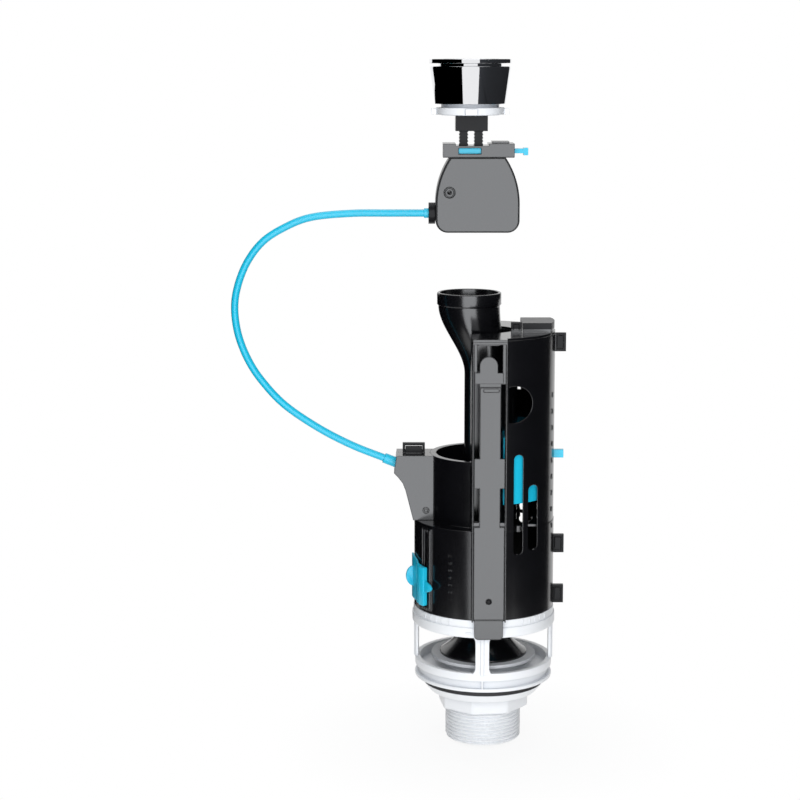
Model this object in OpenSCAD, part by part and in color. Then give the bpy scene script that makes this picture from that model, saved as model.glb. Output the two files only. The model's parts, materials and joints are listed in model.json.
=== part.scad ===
// Dual-flush cistern valve, worked by a push button through a cable.
// Millimetres, +Z up. The origin is on the outlet axis, at the underside of the sealing washer.
// -Y faces the front rail, and the cable leaves the actuator box towards -X.

/* [Outlet] */
// Outside diameter of the threaded outlet tail
tail_d = 47.8; // [44:0.2:52]
// Bore of the outlet tail
tail_bore_d = 40; // [36:0.5:41]
// Length of the tail below the cistern floor
tail_len = 37; // [26:1:60]
// Outside diameter of the sealing washer
washer_d = 76.4; // [68:0.4:82]
// Thickness of the sealing washer
washer_t = 4; // [3:0.5:8]
// Wall of the back nut over the thread, at its flats
nut_wall = 3; // [2.5:0.1:6]
// Height of the eight-sided part of the back nut
nut_h = 10; // [6:0.5:16]
// Thickness of the back nut's tapered flange
nut_flange_t = 5.5; // [3:0.5:8]

/* [Base] */
// Height of the base ring above the washer
base_ring_h = 12; // [10:0.5:16]
// Height of the water windows between the base ring and the collar
window_h = 23; // [18:1:40]
// Height of the bayonet collar
collar_h = 11; // [8:0.5:16]
// How far the collar stands out from the body
collar_lip = 1.1; // [0.6:0.1:2]
// Width of a pillar
pillar_w = 8.5; // [5:0.5:12]

/* [Body] */
// Outside diameter of the drum and the float tower
body_d = 88; // [82:1:110]
// Wall of the body shells
body_wall = 2.2; // [1.6:0.1:3]
// Height of the drum above the collar
drum_h = 56; // [50:1:70]
// Outside diameter of the overflow cup
cup_d = 68; // [64:1:76]
// Wall of the overflow cup
cup_wall = 3.6; // [2:0.2:4]
// Height of the overflow cup above the drum
cup_h = 41; // [36:1:46]
// Height of the float tower above the collar
tower_h = 173.5; // [160:0.5:220]
// How far the tower reaches past the axis, towards the cup
tower_edge = 9.7; // [8:0.1:12]

/* [Front rail] */
// Width of the front rail
rail_w = 21; // [19:0.5:26]
// Width of the narrow stretches of the lock slider
slider_w = 12.5; // [9:0.5:14]
// Thickness of the lock slider
slider_t = 2; // [1.4:0.1:3]
// Upward travel of the lock slider
lock_travel = 2.4; // [1.5:0.1:3]

/* [Flush spindle] */
// Outside diameter of the overflow pipe
pipe_d = 25.4; // [22:0.2:27]
// Wall of the overflow pipe
pipe_wall = 1.8; // [1.2:0.1:2.5]
// Outside diameter of the funnel at the top of the pipe
funnel_d = 40; // [36:0.2:44]
// Sideways offset of the funnel from the pipe
funnel_off = 10; // [6:0.5:12]
// Height of the funnel's mouth above the tower
overflow_rise = 25; // [20:1:40]
// Outside diameter of the flush seal
seal_d = 66; // [60:0.5:72]
// Thickness of the flush seal
seal_t = 2; // [1.5:0.1:4]
// Diameter of the valve cone at its foot
cone_d = 55; // [48:0.5:58]
// Height of the valve cone
cone_h = 19; // [14:0.5:22]
// Height by which a full flush lifts the spindle
lift = 16; // [10:0.5:18]

/* [Settings] */
// Angle of the full-flush adjuster round the drum, from +X
adjuster_angle = 215; // [205:1:220]
// Height of the adjuster's bar
adjuster_h = 24.4; // [20:0.2:30]
// Height of the half-flush float
float_h = 42; // [34:1:50]
// Height of the float's foot above the drum
float_z = 16; // [8:1:26]

/* [Lever bracket] */
// Depth of the bracket from front to back
bracket_depth = 24; // [20:1:28]
// Wall of the bracket
bracket_wall = 1.8; // [1.4:0.1:2.4]
// Arm of the lift lever that the cable pulls
pull_arm = 11.4; // [11:0.1:13]

/* [Actuator box] */
// Place of the box's middle along X
box_x = -5.4; // [-9:0.2:-3]
// Height of the box's underside above the cistern floor
box_z = 286.2; // [280:0.2:300]
// Greatest width of the box
box_w = 51.6; // [50:0.2:60]
// Height of the box below its top bar
box_h = 46.4; // [44:0.2:52]
// Depth of the box from front to back
box_depth = 24; // [22:0.5:30]
// Wall of the box
box_wall = 1.8; // [1.4:0.1:2.4]
// Height of the top bar
bar_h = 8.2; // [8:0.2:14]
// Travel of the latch
latch_travel = 4; // [2:0.5:5]
// Diameter of the cable's sheath
cable_d = 4.6; // [4:0.1:5]

/* [Button] */
// Place of the button's axis along X
button_x = -10; // [-11:0.2:-8]
// Length of toothed leg that shows above the box
leg_show = 7.5; // [4:0.5:30]
// Width of a toothed leg
leg_w = 5.4; // [5.2:0.1:7]
// Height of the stem block
stem_h = 9.6; // [7:0.2:14]
// Diameter of the threaded neck that goes through the lid
neck_d = 35.6; // [34:0.2:37]
// Height of the lock ring
lock_ring_h = 4.2; // [3.6:0.1:8]
// Space between lock ring and sleeve, where the lid is clamped
lid_gap = 2.2; // [1.6:0.1:12]
// Height of the tapered sleeve
sleeve_h = 22.8; // [18:0.2:30]
// Diameter of the sleeve at its top
sleeve_top_d = 49.6; // [48:0.2:56]
// Diameter of the sleeve at its foot
sleeve_low_d = 43.6; // [43.2:0.2:47]
// Outside diameter of the bezel ring
bezel_d = 50.4; // [48:0.2:60]
// Thickness of the bezel ring
bezel_t = 2.6; // [2:0.1:4]
// Shadow gap between bezel ring and sleeve
bezel_gap = 1.8; // [1.2:0.1:3]
// Travel of the full-flush button
full_travel = 7; // [5:0.2:8]
// Travel of the half-flush button
half_travel = 4; // [2:0.2:4.5]

/* [Hidden] */
$fn = 96;

// Clearances: between fixed pieces, of a pin in its bore, and between moving pieces
fit = 0.15;
run = 0.05;
gap = 0.4;
// A cut runs this far past the face that it opens
over = 1;

// Colours
black_plastic = [0.05, 0.05, 0.06];
white_plastic = [0.93, 0.94, 0.95];
blue_plastic = [0.0, 0.68, 0.9];
chrome = [0.8, 0.81, 0.83];
steel = [0.6, 0.61, 0.63];
rubber = [0.09, 0.09, 0.1];
seal_rubber = [0.55, 0.56, 0.58];

// Heights, from the cistern floor upwards
z_base = washer_t + base_ring_h;
z_collar = z_base + window_h;
z_body = z_collar + collar_h;
z_drum = z_body + drum_h;
z_cup = z_drum + cup_h;
z_tower = z_body + tower_h;
z_mouth = z_tower + overflow_rise;

// Outlet and base
tail_r = tail_d / 2;
bore_r = tail_bore_d / 2;
washer_r = washer_d / 2;
nut_flange_taper = 4.2;
nut_foot = -nut_flange_t - nut_h;
body_r = body_d / 2;
collar_r = body_r + collar_lip;
collar_wall = 3;
collar_in_r = collar_r - collar_wall;
collar_step_h = 4.6;
collar_step = 0.8;
base_r = body_r - 0.7;
base_wall = 3.3;
base_floor_t = 6.5;
base_lip_h = 2.2;
base_rim_h = 5;
base_groove = 1;
seat_r = bore_r + 4.5;
pillar_t = 2.2;
thread_in = 0.6;
thread_top = nut_foot - 1;
pillar_rib = 2;
base_turn = -3;

// Body shells
inner_r = body_r - body_wall;
tower_r = body_r - 0.3;
seam_turn = 40;
cup_r = cup_d / 2;
shoulder_t = 2;
spigot_h = 6;
spigot_r = collar_in_r - fit;
spigot_lap = 3;
pipe_r = pipe_d / 2;
channel_r = pipe_r + 5.7;
channel_side = 2.1;
guide_h = 4;
guide_wall = 2.4;
cap_t = 1.6;
cap_plug = 3;
loop_w = 6.4;
loop_h = 11.6;
loop_bar = 1.6;
loop_t = 3;
loop_z = [z_body + loop_h / 2 + 0.6, z_body + 39, z_tower - 6];

// Front rail and lock slider
slider_back = -(collar_r + gap);
slider_front = slider_back - slider_t;
rail_floor = slider_back + gap;
rail_front = slider_front - 0.5;
rail_x = -tower_edge + 0.5;
rail_lip = 0.8;
channel_w = rail_w - 2 * rail_lip;
slider_x = rail_x + rail_w / 2;
slider_wide = channel_w - 2 * gap;
slider_edge = slider_x - slider_w / 2 + 0.3;
catch_z = z_tower - 25.3;
catch_h = 6.6;
tongue_w = 11;
tongue_h = 9.8;
slider_top = catch_z - lock_travel - 0.2;
slider_rivet_z = z_body + 13;

// Flush spindle
cone_r = cone_d / 2;
seal_r = seal_d / 2;
retainer_h = 4;
pipe_foot = z_base - retainer_h;
neck_h = 43;
mouth_h = 8;
mouth_step = 0.8;
pipe_sides = 36;
neck_steps = 10;

// Half-flush float and its tab
float_foot = z_drum + float_z;
float_edge = 10;
tab_z = float_foot + 24.5;
tab_h = 5;
tab_w = 3.6;
tab_reach = 5.7;
tab_down = float_z - 1;
tab_up = 30;

// Full-flush adjuster, in a frame turned to its own angle
pad_r = body_r + 1.6;
pad_w = 9;
pad_top = z_drum - 2;
pad_foot = z_body + 2;
rib_count = 4;
rib_w = 0.8;
slot_w = 3.2;
adjuster_foot = z_body + 5.5;
adjuster_bar_w = 5;
adjuster_bar_t = 3;
thumb_r = 5.6;
thumb_reach = 11;
thumb_t = 2.4;
pointer_w = 7;
pointer_h = 8;

// Lever bracket: its anchor is on the cup's side, at the top of the drum
anchor = [-cup_r, z_drum];
bracket_top = 41;
clip_in = 17.4;
clip_w = 14;
clip_h = 6;
half_bracket = bracket_depth / 2;
cable_end = anchor + [-29, 37.5];
cable_slope = -21.8;
pull_out = 27.1;
wire_dir = [cos(cable_slope), sin(cable_slope)];
wire_side = [-sin(cable_slope), cos(cable_slope)];
pull_mid = cable_end + pull_out * wire_dir;
lever_pivot = pull_mid - pull_arm * wire_side;
lug_x = -(pipe_r + 6);
lever_reach = norm([lug_x - lever_pivot[0], lift / 2]);
lever_half = asin(lift / 2 / lever_reach);
lever_rest = lever_pivot + lever_reach * [cos(lever_half), -sin(lever_half)];
pull_rest_angle = 90 + cable_slope - lever_half;
pull_rest = lever_pivot + pull_arm * [cos(pull_rest_angle), sin(pull_rest_angle)];
wire_rest_along = (pull_rest - cable_end) * wire_dir;
pin_r = 2;
hub_r = 3.4;
hub_half = 4.4;
lever_half_t = 3;
lever_tip_r = 2.2;
lever_slot_down = 11;
lever_slot_up = 17;
nipple_r = 1.8;
nipple_hole_r = 2.6;
wire_r = 0.8;
wire_bore_r = 1.3;
wire_slit = 1.3;
ferrule_r = 3.2;
ferrule_len = 10;
lug_h = 8;
lug_half_w = 5;
collar_ring_wall = 2.2;
lug_end = 1.5;
lug_z = lever_rest[1] + lever_tip_r / cos(lever_half) + lug_end * tan(lever_half) + gap;

// Actuator box
half_w = box_w / 2;
half_depth = box_depth / 2;
side_arc_r = 51.4;
side_arc_z = 17.4;
corner_r = 7.5;
cover_t = 2.8;
cover_y = -half_depth + cover_t;
z_bar = box_z + box_h;
z_bar_top = z_bar + bar_h;
bar_w = 43.6;
bar_pad_in = 3.1;
bar_pad_w = 10.5;
bar_x = box_x + 0.5;
cable_z = box_z + 11.4;
gland_r = 6.6;
gland_len = 4.2;
gland_spigot_r = 4.2;
collar_len = 2.8;
collar_ferrule_r = 3;
box_left = box_x - half_w;
crank_x = button_x + 15.4;
crank_drop = 20.6;
crank_z = cable_z + crank_drop;
crank_half_t = 2.6;
crank_hub_r = 4.2;
crank_arm_r = 1.8;
rivet_at = [box_x - 17.3, box_z + 24.8];
rivet_post_r = 4.4;
rivet_shank_r = 2.5;
rivet_head_r = 3.3;
rivet_bore_r = 1.3;
rivet_sink = 1.8;

// Legs, rods and latch
leg_x = [button_x - 4, button_x + 5.2];
leg_depth = 8;
leg_bore_r = 1.7;
rod_r = 1.3;
tooth_pitch = 2;
tooth_d = 0.6;
leg_foot = z_bar + 0.6;
z_stem = z_bar_top + leg_show;
z_carrier = z_stem + stem_h;
stem_half_w = 9.8;
stem_half_d = 8;
crank_arm = crank_x - leg_x[0];
crank_half = full_travel / crank_arm / 2 * 180 / PI;
crank_tip_z = crank_z + crank_arm * tan(crank_half);
full_rod_foot = crank_tip_z + crank_arm_r + gap;
half_arm_top = crank_z + (crank_x - leg_x[1]) * tan(crank_half) + crank_arm_r / cos(crank_half);
half_rod_foot = half_arm_top + half_travel + gap;
wire_drop = [crank_x - crank_drop * sin(crank_half), crank_z - crank_drop * cos(crank_half)];
latch_z = z_bar + 2;
latch_h = 3.4;
latch_front = -half_depth + 2.4;
latch_back = 8;
latch_end = 0.6;
latch_left = leg_x[0] - leg_w / 2 - gap - latch_travel - latch_end;
latch_tail = 8.8;
window_x = [bar_x - 12.4, bar_x + 1.4];

// Button
z_lock = z_carrier + 0.4;
z_sleeve = z_lock + lock_ring_h + lid_gap;
z_sleeve_top = z_sleeve + sleeve_h;
z_bezel = z_sleeve_top + bezel_gap;
z_button = z_bezel + bezel_t;
neck_r = neck_d / 2;
neck_wall = 2;
carrier_floor_t = 3;
sleeve_wall = 1.6;
carrier_flange_r = sleeve_low_d / 2 - sleeve_wall - 0.4;
carrier_flange_t = 2;
skirt_r = carrier_flange_r - 0.2;
skirt_in_r = skirt_r - 1.3;
button_r = skirt_in_r - gap;
button_t = 3.6;
button_crown = 0.8;
split_x = 1.6;
split_gap = 0.5;
lock_lug = 2.8;
lock_lug_w = 7;
z_carrier_flange = z_sleeve + sleeve_wall;
z_button_under = z_button - button_t;
spring_r = 3.4;
spring_wire_r = 0.45;
spring_turns = 9;
spring_steps = 14;
spring_sides = 6;
spring_foot = z_carrier + carrier_floor_t + spring_wire_r;
spring_head = z_button_under - spring_wire_r;

// Route of the cable in X and Z, from the actuator box to the bracket
cable_route = [[box_left - gland_len - collar_len - run, cable_z], [-60, cable_z], [-84, 297.4], [-108, 295], [-124, 289], [-138, 280], [-148, 267],
    [-154, 252], [-156, 238], [-154, 222], [-148, 206], [-139, 192], [-125, 177], [-104, 162.5], [-83, 151.5],
    cable_end - run * wire_dir];
cable_sides = 10;
cable_steps = 2;

// Point at t along segment i of a smooth curve through the points p
function smooth_point(p, i, t) =
    let (a = p[max(i - 1, 0)], b = p[i], c = p[i + 1], d = p[min(i + 2, len(p) - 1)])
    b + 0.5 * t * ((c - a) + t * ((2 * a - 5 * b + 4 * c - d) + t * (3 * (b - c) + d - a)));

// Smooth curve through the points p, with a number of steps between each two
function smooth_path(p, steps) =
    concat([for (i = [0 : len(p) - 2]) for (s = [0 : steps - 1]) smooth_point(p, i, s / steps)],
        [p[len(p) - 1]]);

// Ring of points round a centre of a path in X and Z, across its direction
function path_ring(path, i, r, sides) =
    let (ahead = path[min(i + 1, len(path) - 1)], behind = path[max(i - 1, 0)],
        dir = (ahead - behind) / norm(ahead - behind))
    [for (j = [0 : sides - 1]) let (a = 360 * j / sides)
        [path[i][0] - r * cos(a) * dir[1], r * sin(a), path[i][1] + r * cos(a) * dir[0]]];

// Ring of points round the wire of a coil, at a turn angle
function coil_ring(turn, coil_r, wire, z, sides) =
    [for (j = [0 : sides - 1]) let (b = 360 * j / sides, r = coil_r + wire * cos(b))
        [r * cos(turn), r * sin(turn), z + wire * sin(b)]];

// Closed solid through a row of rings that have the same number of points
module swept(rings) {
    n = len(rings[0]);
    m = len(rings);
    sides = [for (i = [0 : m - 2]) for (j = [0 : n - 1])
        [i * n + j, i * n + (j + 1) % n, (i + 1) * n + (j + 1) % n, (i + 1) * n + j]];
    ends = [[for (j = [n - 1 : -1 : 0]) j], [for (j = [0 : n - 1]) (m - 1) * n + j]];
    polyhedron(points = [for (ring = rings) each ring], faces = concat(sides, ends));
}

// Solid through a closed loop of level rings, which makes a hollow shell
module looped(rings) {
    n = len(rings[0]);
    m = len(rings);
    faces = [for (i = [0 : m - 1]) for (j = [0 : n - 1]) let (k = (i + 1) % m)
        [i * n + j, k * n + j, k * n + (j + 1) % n, i * n + (j + 1) % n]];
    polyhedron(points = [for (ring = rings) each ring], faces = faces);
}

// Upright ring between two heights
module ring(r_out, r_in, z0, z1) {
    translate([0, 0, z0]) rotate(seam_turn)
        difference() {
            cylinder(r = r_out, h = z1 - z0);
            translate([0, 0, -over]) cylinder(r = r_in, h = z1 - z0 + 2 * over);
        }
}

// A drawing in X and Z, as thick as from y0 to y1
module slab(y0, y1) {
    translate([0, y1, 0]) rotate([90, 0, 0]) linear_extrude(y1 - y0) children();
}

// Box between two corners
module block(low, high) {
    translate(low) cube(high - low);
}

// Rod along Y
module cross_rod(at, r, y0, y1) {
    slab(y0, y1) translate(at) circle(r = r);
}

// Rod along a direction in X and Z
module slant_rod(at, angle, r, from, to) {
    translate([at[0], 0, at[1]]) rotate([0, 90 - angle, 0])
        translate([0, 0, from]) cylinder(r = r, h = to - from);
}

// Upright round-ended slot in X and Z
module slot_shape(x0, x1, z0, z1) {
    r = (x1 - x0) / 2;
    translate([x0, z0 + r]) square([2 * r, z1 - z0 - 2 * r]);
    translate([x0 + r, z0 + r]) circle(r = r);
    translate([x0 + r, z1 - r]) circle(r = r);
}

// Bar with round ends between two points in X and Z
module link_shape(a, b, r) {
    angle = atan2(b[1] - a[1], b[0] - a[0]);
    translate(a) circle(r = r);
    translate(b) circle(r = r);
    translate(a) rotate(angle) translate([0, -r]) square([norm(b - a), 2 * r]);
}

// Outlet and base

module valve_base() {
    rib_low = washer_t + base_lip_h;
    color(white_plastic) {
        rotate_extrude()
            polygon([[bore_r, -tail_len], [tail_r, -tail_len], [tail_r, thread_top], [tail_r - thread_in, thread_top],
                [tail_r - thread_in, washer_t], [base_r, washer_t], [base_r, washer_t + base_lip_h],
                [base_r - base_groove, washer_t + base_lip_h], [base_r - base_groove, z_base - base_rim_h],
                [base_r, z_base - base_rim_h], [base_r, z_base], [base_r - base_wall, z_base],
                [base_r - base_wall, washer_t + base_floor_t], [seat_r, washer_t + base_floor_t],
                [seat_r - 1.5, z_base], [bore_r, z_base]]);
        rotate_extrude()
            polygon([[collar_in_r, z_collar], [collar_r - 0.5, z_collar], [collar_r, z_collar + 0.8],
                [collar_r, z_body - collar_step_h], [collar_r - collar_step, z_body - collar_step_h],
                [collar_r - collar_step, z_body], [collar_in_r, z_body]]);
        for (a = [0 : 90 : 270])
            rotate(a + base_turn) {
                block([collar_in_r - pillar_t / 2, -pillar_w / 2, z_base - over],
                    [collar_in_r + pillar_t / 2, pillar_w / 2, z_collar + over]);
                block([collar_in_r, -pillar_rib / 2, z_base - over],
                    [collar_in_r + pillar_t / 2 + 0.9, pillar_rib / 2, z_collar + over]);
            }
        rotate(-90 + base_turn)
            block([base_r - base_groove - over, -0.5, rib_low - 0.2],
                [base_r, 0.5, z_base - base_rim_h + 0.2]);
    }
}

module sealing_washer() {
    color(rubber) ring(washer_r, tail_r + fit, 0, washer_t);
}

module back_nut() {
    nut_corner_r = (tail_r + nut_wall) / cos(22.5);
    color(white_plastic)
        difference() {
            union() {
                translate([0, 0, -nut_flange_t])
                    cylinder(r1 = washer_r - nut_flange_taper, r2 = washer_r, h = nut_flange_t);
                translate([0, 0, nut_foot]) rotate(30)
                    cylinder(r = nut_corner_r, h = nut_h + nut_flange_t / 2, $fn = 8);
            }
            translate([0, 0, nut_foot - over]) cylinder(r = tail_r - thread_in + fit, h = 2 * over - nut_foot);
        }
}

// Body

// Plan of the float tower, drawn smaller by an inset
module tower_plan(inset) {
    side = channel_r + channel_side + inset;
    difference() {
        intersection() {
            rotate(seam_turn) circle(r = tower_r - inset);
            translate([-tower_edge + inset, -body_r]) square([body_r + tower_edge, 2 * body_r]);
        }
        rotate(seam_turn) circle(r = channel_r + inset);
        translate([-body_r, -side]) square([body_r, 2 * side]);
    }
}

// Slots and window in the side of the tower that faces -Y
module tower_openings() {
    slab(-body_r - over, -inner_r / 2) {
        slot_shape(16.5, 22.2, z_body + 40.5, z_body + 103);
        slot_shape(25.7, 31.6, z_body + 42, z_body + 83);
        intersection() {
            translate([16.5, z_tower - 39.3]) circle(r = 11.3);
            translate([13, z_tower - 52]) square([20, 25]);
        }
    }
}

// Vent and drain slot in the side of the tower that faces +Y
module rear_openings() {
    slab(inner_r / 2, body_r + over) {
        slot_shape(24.4, 29, z_drum - 12, z_drum + 1.5);
        translate([17.6, z_tower - 42]) square([7, 2.8]);
    }
}

// Hoop of a snap clip, in X and Z, at a height on the tower's side
module hoop_shape(z) {
    difference() {
        translate([body_r - loop_bar, z - loop_h / 2]) square([loop_w + loop_bar, loop_h]);
        translate([body_r + 0.6, z - loop_h / 2 + loop_bar])
            square([loop_w - loop_bar - 0.6, loop_h - 2 * loop_bar]);
    }
}

// Raised channel with upright ribs, on which the adjuster slides
module adjuster_pad() {
    rotate(adjuster_angle) {
        block([inner_r + 0.6, -pad_w / 2, pad_foot], [pad_r - 0.5, pad_w / 2, pad_top]);
        for (i = [0 : rib_count - 1])
            translate([0, (i - (rib_count - 1) / 2) * (pad_w - 2 * rib_w) / (rib_count - 1), 0])
                block([inner_r + over, -rib_w / 2, pad_foot + rib_w], [pad_r, rib_w / 2, pad_top - rib_w]);
    }
}

// Guide ring with its four ribs, which keeps the overflow pipe upright
module pipe_guide() {
    guide_r = pipe_r + gap;
    z1 = z_drum - shoulder_t + gap;
    ring(guide_r + guide_wall, guide_r, z1 - guide_h, z1);
    for (a = [45, 135, 240, 315])
        rotate(a) block([guide_r + guide_wall / 2, -1, z1 - guide_h], [inner_r + over, 1, z1]);
}

// Drum, cup, tower and guide as one body, before it is parted into shells
module body_walls() {
    tower_foot = z_drum - shoulder_t / 2;
    cup_in_r = cup_r - cup_wall;
    difference() {
        rotate(seam_turn)
            rotate_extrude()
                polygon([[spigot_r - body_wall, z_body - spigot_h], [spigot_r, z_body - spigot_h],
                    [spigot_r, z_body], [body_r, z_body], [body_r, z_drum], [cup_r, z_drum], [cup_r, z_cup],
                    [cup_in_r, z_cup], [cup_in_r, z_drum - shoulder_t], [inner_r, z_drum - shoulder_t],
                    [inner_r, z_body + spigot_lap], [spigot_r - body_wall, z_body + spigot_lap]]);
        translate([0, 0, z_drum - gap]) linear_extrude(cup_h + over) tower_plan(body_wall / 2);
    }
    translate([0, 0, tower_foot])
        linear_extrude(z_tower - tower_foot)
            difference() {
                tower_plan(0);
                tower_plan(body_wall);
            }
    pipe_guide();
}

// The half of the body on one side of the parting plane, with its openings
module body_half(side) {
    reach = 2 * body_r;
    difference() {
        intersection() {
            body_walls();
            translate([0, side * reach / 2, z_mouth / 2]) cube([2 * reach, reach, z_mouth], center = true);
        }
        if (side < 0) tower_openings();
        if (side > 0) rear_openings();
        block([inner_r - 4, -tab_w / 2 - gap, tab_z - tab_down - tab_h / 2 - gap],
            [body_r + over, tab_w / 2 + gap, tab_z + tab_up + tab_h / 2 + gap]);
        block([-cup_r - over, -lever_half_t - 1.5, lever_pivot[1] - lever_slot_down],
            [-cup_r + cup_wall + 2, lever_half_t + 1.5, lever_pivot[1] + lever_slot_up]);
    }
}

// Front rail with the channel of the lock slider and the pocket above its catch
module front_rail() {
    difference() {
        block([rail_x, rail_front, z_body + 0.2], [rail_x + rail_w, -inner_r - 0.3, z_tower]);
        block([rail_x + rail_lip, rail_front - over, z_body - over],
            [rail_x + rail_w - rail_lip, rail_floor, z_tower - 1.4]);
    }
}

// Openings behind the lock slider: the pocket above its catch and a slot along each of its sides
module rail_openings() {
    deep = 4 - inner_r;
    slot_z = [z_drum + 6, catch_z - 0.6];
    block([rail_x + rail_lip + 2, rail_front - over, catch_z + catch_h],
        [rail_x + rail_w - rail_lip - 2, deep, z_tower - 1.7]);
    block([rail_x + rail_lip + 0.4, rail_front - over, slot_z[0]], [slider_edge - 0.3, deep, slot_z[1]]);
    block([slider_edge + slider_w + 0.3, rail_front - over, slot_z[0]],
        [rail_x + rail_w - rail_lip - 0.4, deep, slot_z[1]]);
}

module front_shell() {
    color(black_plastic) {
        difference() {
            union() {
                body_half(-1);
                adjuster_pad();
                front_rail();
            }
            rail_openings();
            rotate(adjuster_angle)
                block([inner_r - 5, -slot_w / 2, pad_foot + 2], [pad_r + over, slot_w / 2, pad_top - 2]);
        }
        for (z = loop_z)
            slab(-loop_t, 0) hoop_shape(z);
    }
}

module rear_shell() {
    barb_x = body_r + 0.6 + fit;
    barb_w = loop_w - loop_bar - 0.6 - 2 * fit;
    barb_h = loop_h - 2 * loop_bar - 2 * fit;
    color(black_plastic) {
        body_half(1);
        for (z = loop_z) {
            block([body_r - loop_bar, 0.3, z - barb_h / 2 + 0.3],
                [barb_x + barb_w - 0.3, loop_t, z + barb_h / 2 - 0.3]);
            block([barb_x, -loop_t - 0.6, z - barb_h / 2], [barb_x + barb_w, over, z + barb_h / 2]);
        }
    }
}

module tower_cap() {
    clip_x = 15.4;
    clip_w = 6.6;
    clip_h = 6.4;
    clip_y = -15;
    block_x = 22.6;
    block_h = 6;
    color(black_plastic) {
        translate([0, 0, z_tower])
            linear_extrude(cap_t) {
                tower_plan(0);
                translate([rail_x, rail_front]) square([rail_w, -inner_r - rail_front]);
            }
        translate([0, 0, z_tower - cap_plug]) linear_extrude(cap_plug + cap_t) tower_plan(body_wall + fit);
        difference() {
            block([clip_x, clip_y, z_tower], [clip_x + clip_w, clip_y + 2.4, z_tower + cap_t + clip_h]);
            block([clip_x + loop_bar, clip_y - over, z_tower + cap_t + 1.4],
                [clip_x + clip_w - loop_bar, clip_y + 1.2, z_tower + cap_t + clip_h - 1.4]);
        }
        intersection() {
            translate([0, 0, z_tower + cap_t / 2]) linear_extrude(cap_t / 2 + block_h) tower_plan(0.5);
            block([block_x, clip_y - 1, z_tower], [body_r, 12, z_mouth]);
        }
    }
}

// Front rail

// Lock slider in X and Z: wide foot with the tab, narrow stretches and a wide guide between them
module slider_shape() {
    wide_x = slider_x - slider_wide / 2;
    tab_r = 2.5;
    tab_w = slider_wide - 1;
    tab_x = slider_x - tab_w / 2;
    translate([wide_x, z_body + 1]) square([slider_wide, 58.5]);
    translate([wide_x, z_body + 83.8]) square([slider_wide, 18.3]);
    translate([slider_edge, z_body + 50]) square([slider_w, slider_top - z_body - 50]);
    translate([tab_x, z_collar + tab_r]) square([tab_w, collar_h + 2 - tab_r]);
    translate([tab_x + tab_r, z_collar]) square([tab_w - 2 * tab_r, collar_h]);
    for (x = [tab_x + tab_r, tab_x + tab_w - tab_r])
        translate([x, z_collar + tab_r]) circle(r = tab_r);
}

module lock_slider() {
    grip_half = 3.8;
    grip_at = [slider_x + 0.8, slider_top - 1.6];
    color(black_plastic)
        difference() {
            slab(slider_front, slider_back) slider_shape();
            slab(slider_front - over, slider_front + 0.8)
                link_shape(grip_at - [grip_half, 0], grip_at + [grip_half, 0], 1);
            cross_rod([slider_x, slider_rivet_z], 1.6 + fit, slider_front - over, slider_back + over);
            slab(slider_front - over, slider_front + 0.5)
                translate([slider_x - slider_wide / 2, z_body + 1]) square([slider_wide, 0.6]);
        }
}

module slider_rivet() {
    color(black_plastic) {
        cross_rod([slider_x, slider_rivet_z], 1.6, slider_front, slider_back);
        cross_rod([slider_x, slider_rivet_z], 1.1, slider_front - 0.4, slider_front);
    }
}

module slider_catch() {
    r = tongue_w / 2;
    bar_x0 = slider_x - slider_wide / 2;
    color(black_plastic)
        slab(slider_front, rail_floor) {
            translate([bar_x0, catch_z]) square([slider_wide - 1.2, catch_h]);
            translate([slider_x - r - 0.8, catch_z]) square([tongue_w, catch_h + tongue_h - r]);
            translate([slider_x - 0.8, catch_z + catch_h + tongue_h - r]) circle(r = r);
        }
}

// Flush spindle

// How far the pipe has widened into the funnel, from 0 at the neck's foot to 1 at its top
function widening(u) = u * u * (3 - 2 * u);

// Level ring of the pipe: share of widening, extra radius and height
function pipe_ring(w, extra, z) =
    let (r = pipe_r + (funnel_d / 2 - pipe_r) * w + extra)
    [for (j = [0 : pipe_sides - 1]) let (a = 360 * j / pipe_sides)
        [r * cos(a) - funnel_off * w, r * sin(a), z]];

module overflow_pipe() {
    neck_top = z_mouth - mouth_h;
    neck_foot = neck_top - neck_h;
    neck = [for (s = [0 : neck_steps]) let (u = s / neck_steps) [widening(u), neck_foot + neck_h * u]];
    outside = concat([pipe_ring(0, 0, pipe_foot)],
        [for (n = neck) pipe_ring(n[0], -mouth_step * n[0], n[1])],
        [pipe_ring(1, 0, neck_top + 0.01), pipe_ring(1, 0, z_mouth)]);
    inside = concat([pipe_ring(1, -pipe_wall, z_mouth)],
        [for (s = [neck_steps : -1 : 0]) let (w = neck[s][0])
            pipe_ring(w, -pipe_wall - mouth_step * w, neck[s][1])],
        [pipe_ring(0, -pipe_wall, pipe_foot)]);
    color(black_plastic) looped(concat(outside, inside));
}

module lift_collar() {
    hole_r = pipe_r + run;
    ring_r = hole_r + collar_ring_wall;
    color(black_plastic)
        difference() {
            union() {
                translate([0, 0, lug_z]) cylinder(r = ring_r, h = lug_h);
                block([lug_x - lug_end, -lug_half_w, lug_z], [0, lug_half_w, lug_z + lug_h]);
            }
            translate([0, 0, lug_z - over]) cylinder(r = hole_r, h = lug_h + 2 * over);
        }
}

module valve_cone() {
    z0 = z_base + seal_t;
    hole_r = pipe_r + run;
    neck_r0 = hole_r + 1.8;
    flare = cone_r - neck_r0;
    color(black_plastic)
        rotate_extrude()
            polygon(concat([[hole_r, z0], [cone_r, z0], [cone_r, z0 + 1.2]],
                [for (s = [1 : 12]) let (u = s / 12)
                    [neck_r0 + flare * pow(1 - u, 2.2), z0 + 1.2 + (cone_h - 1.2) * u]],
                [[hole_r, z0 + cone_h]]));
}

module flush_seal() {
    color(seal_rubber) ring(seal_r, pipe_r + run, z_base, z_base + seal_t);
}

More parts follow.
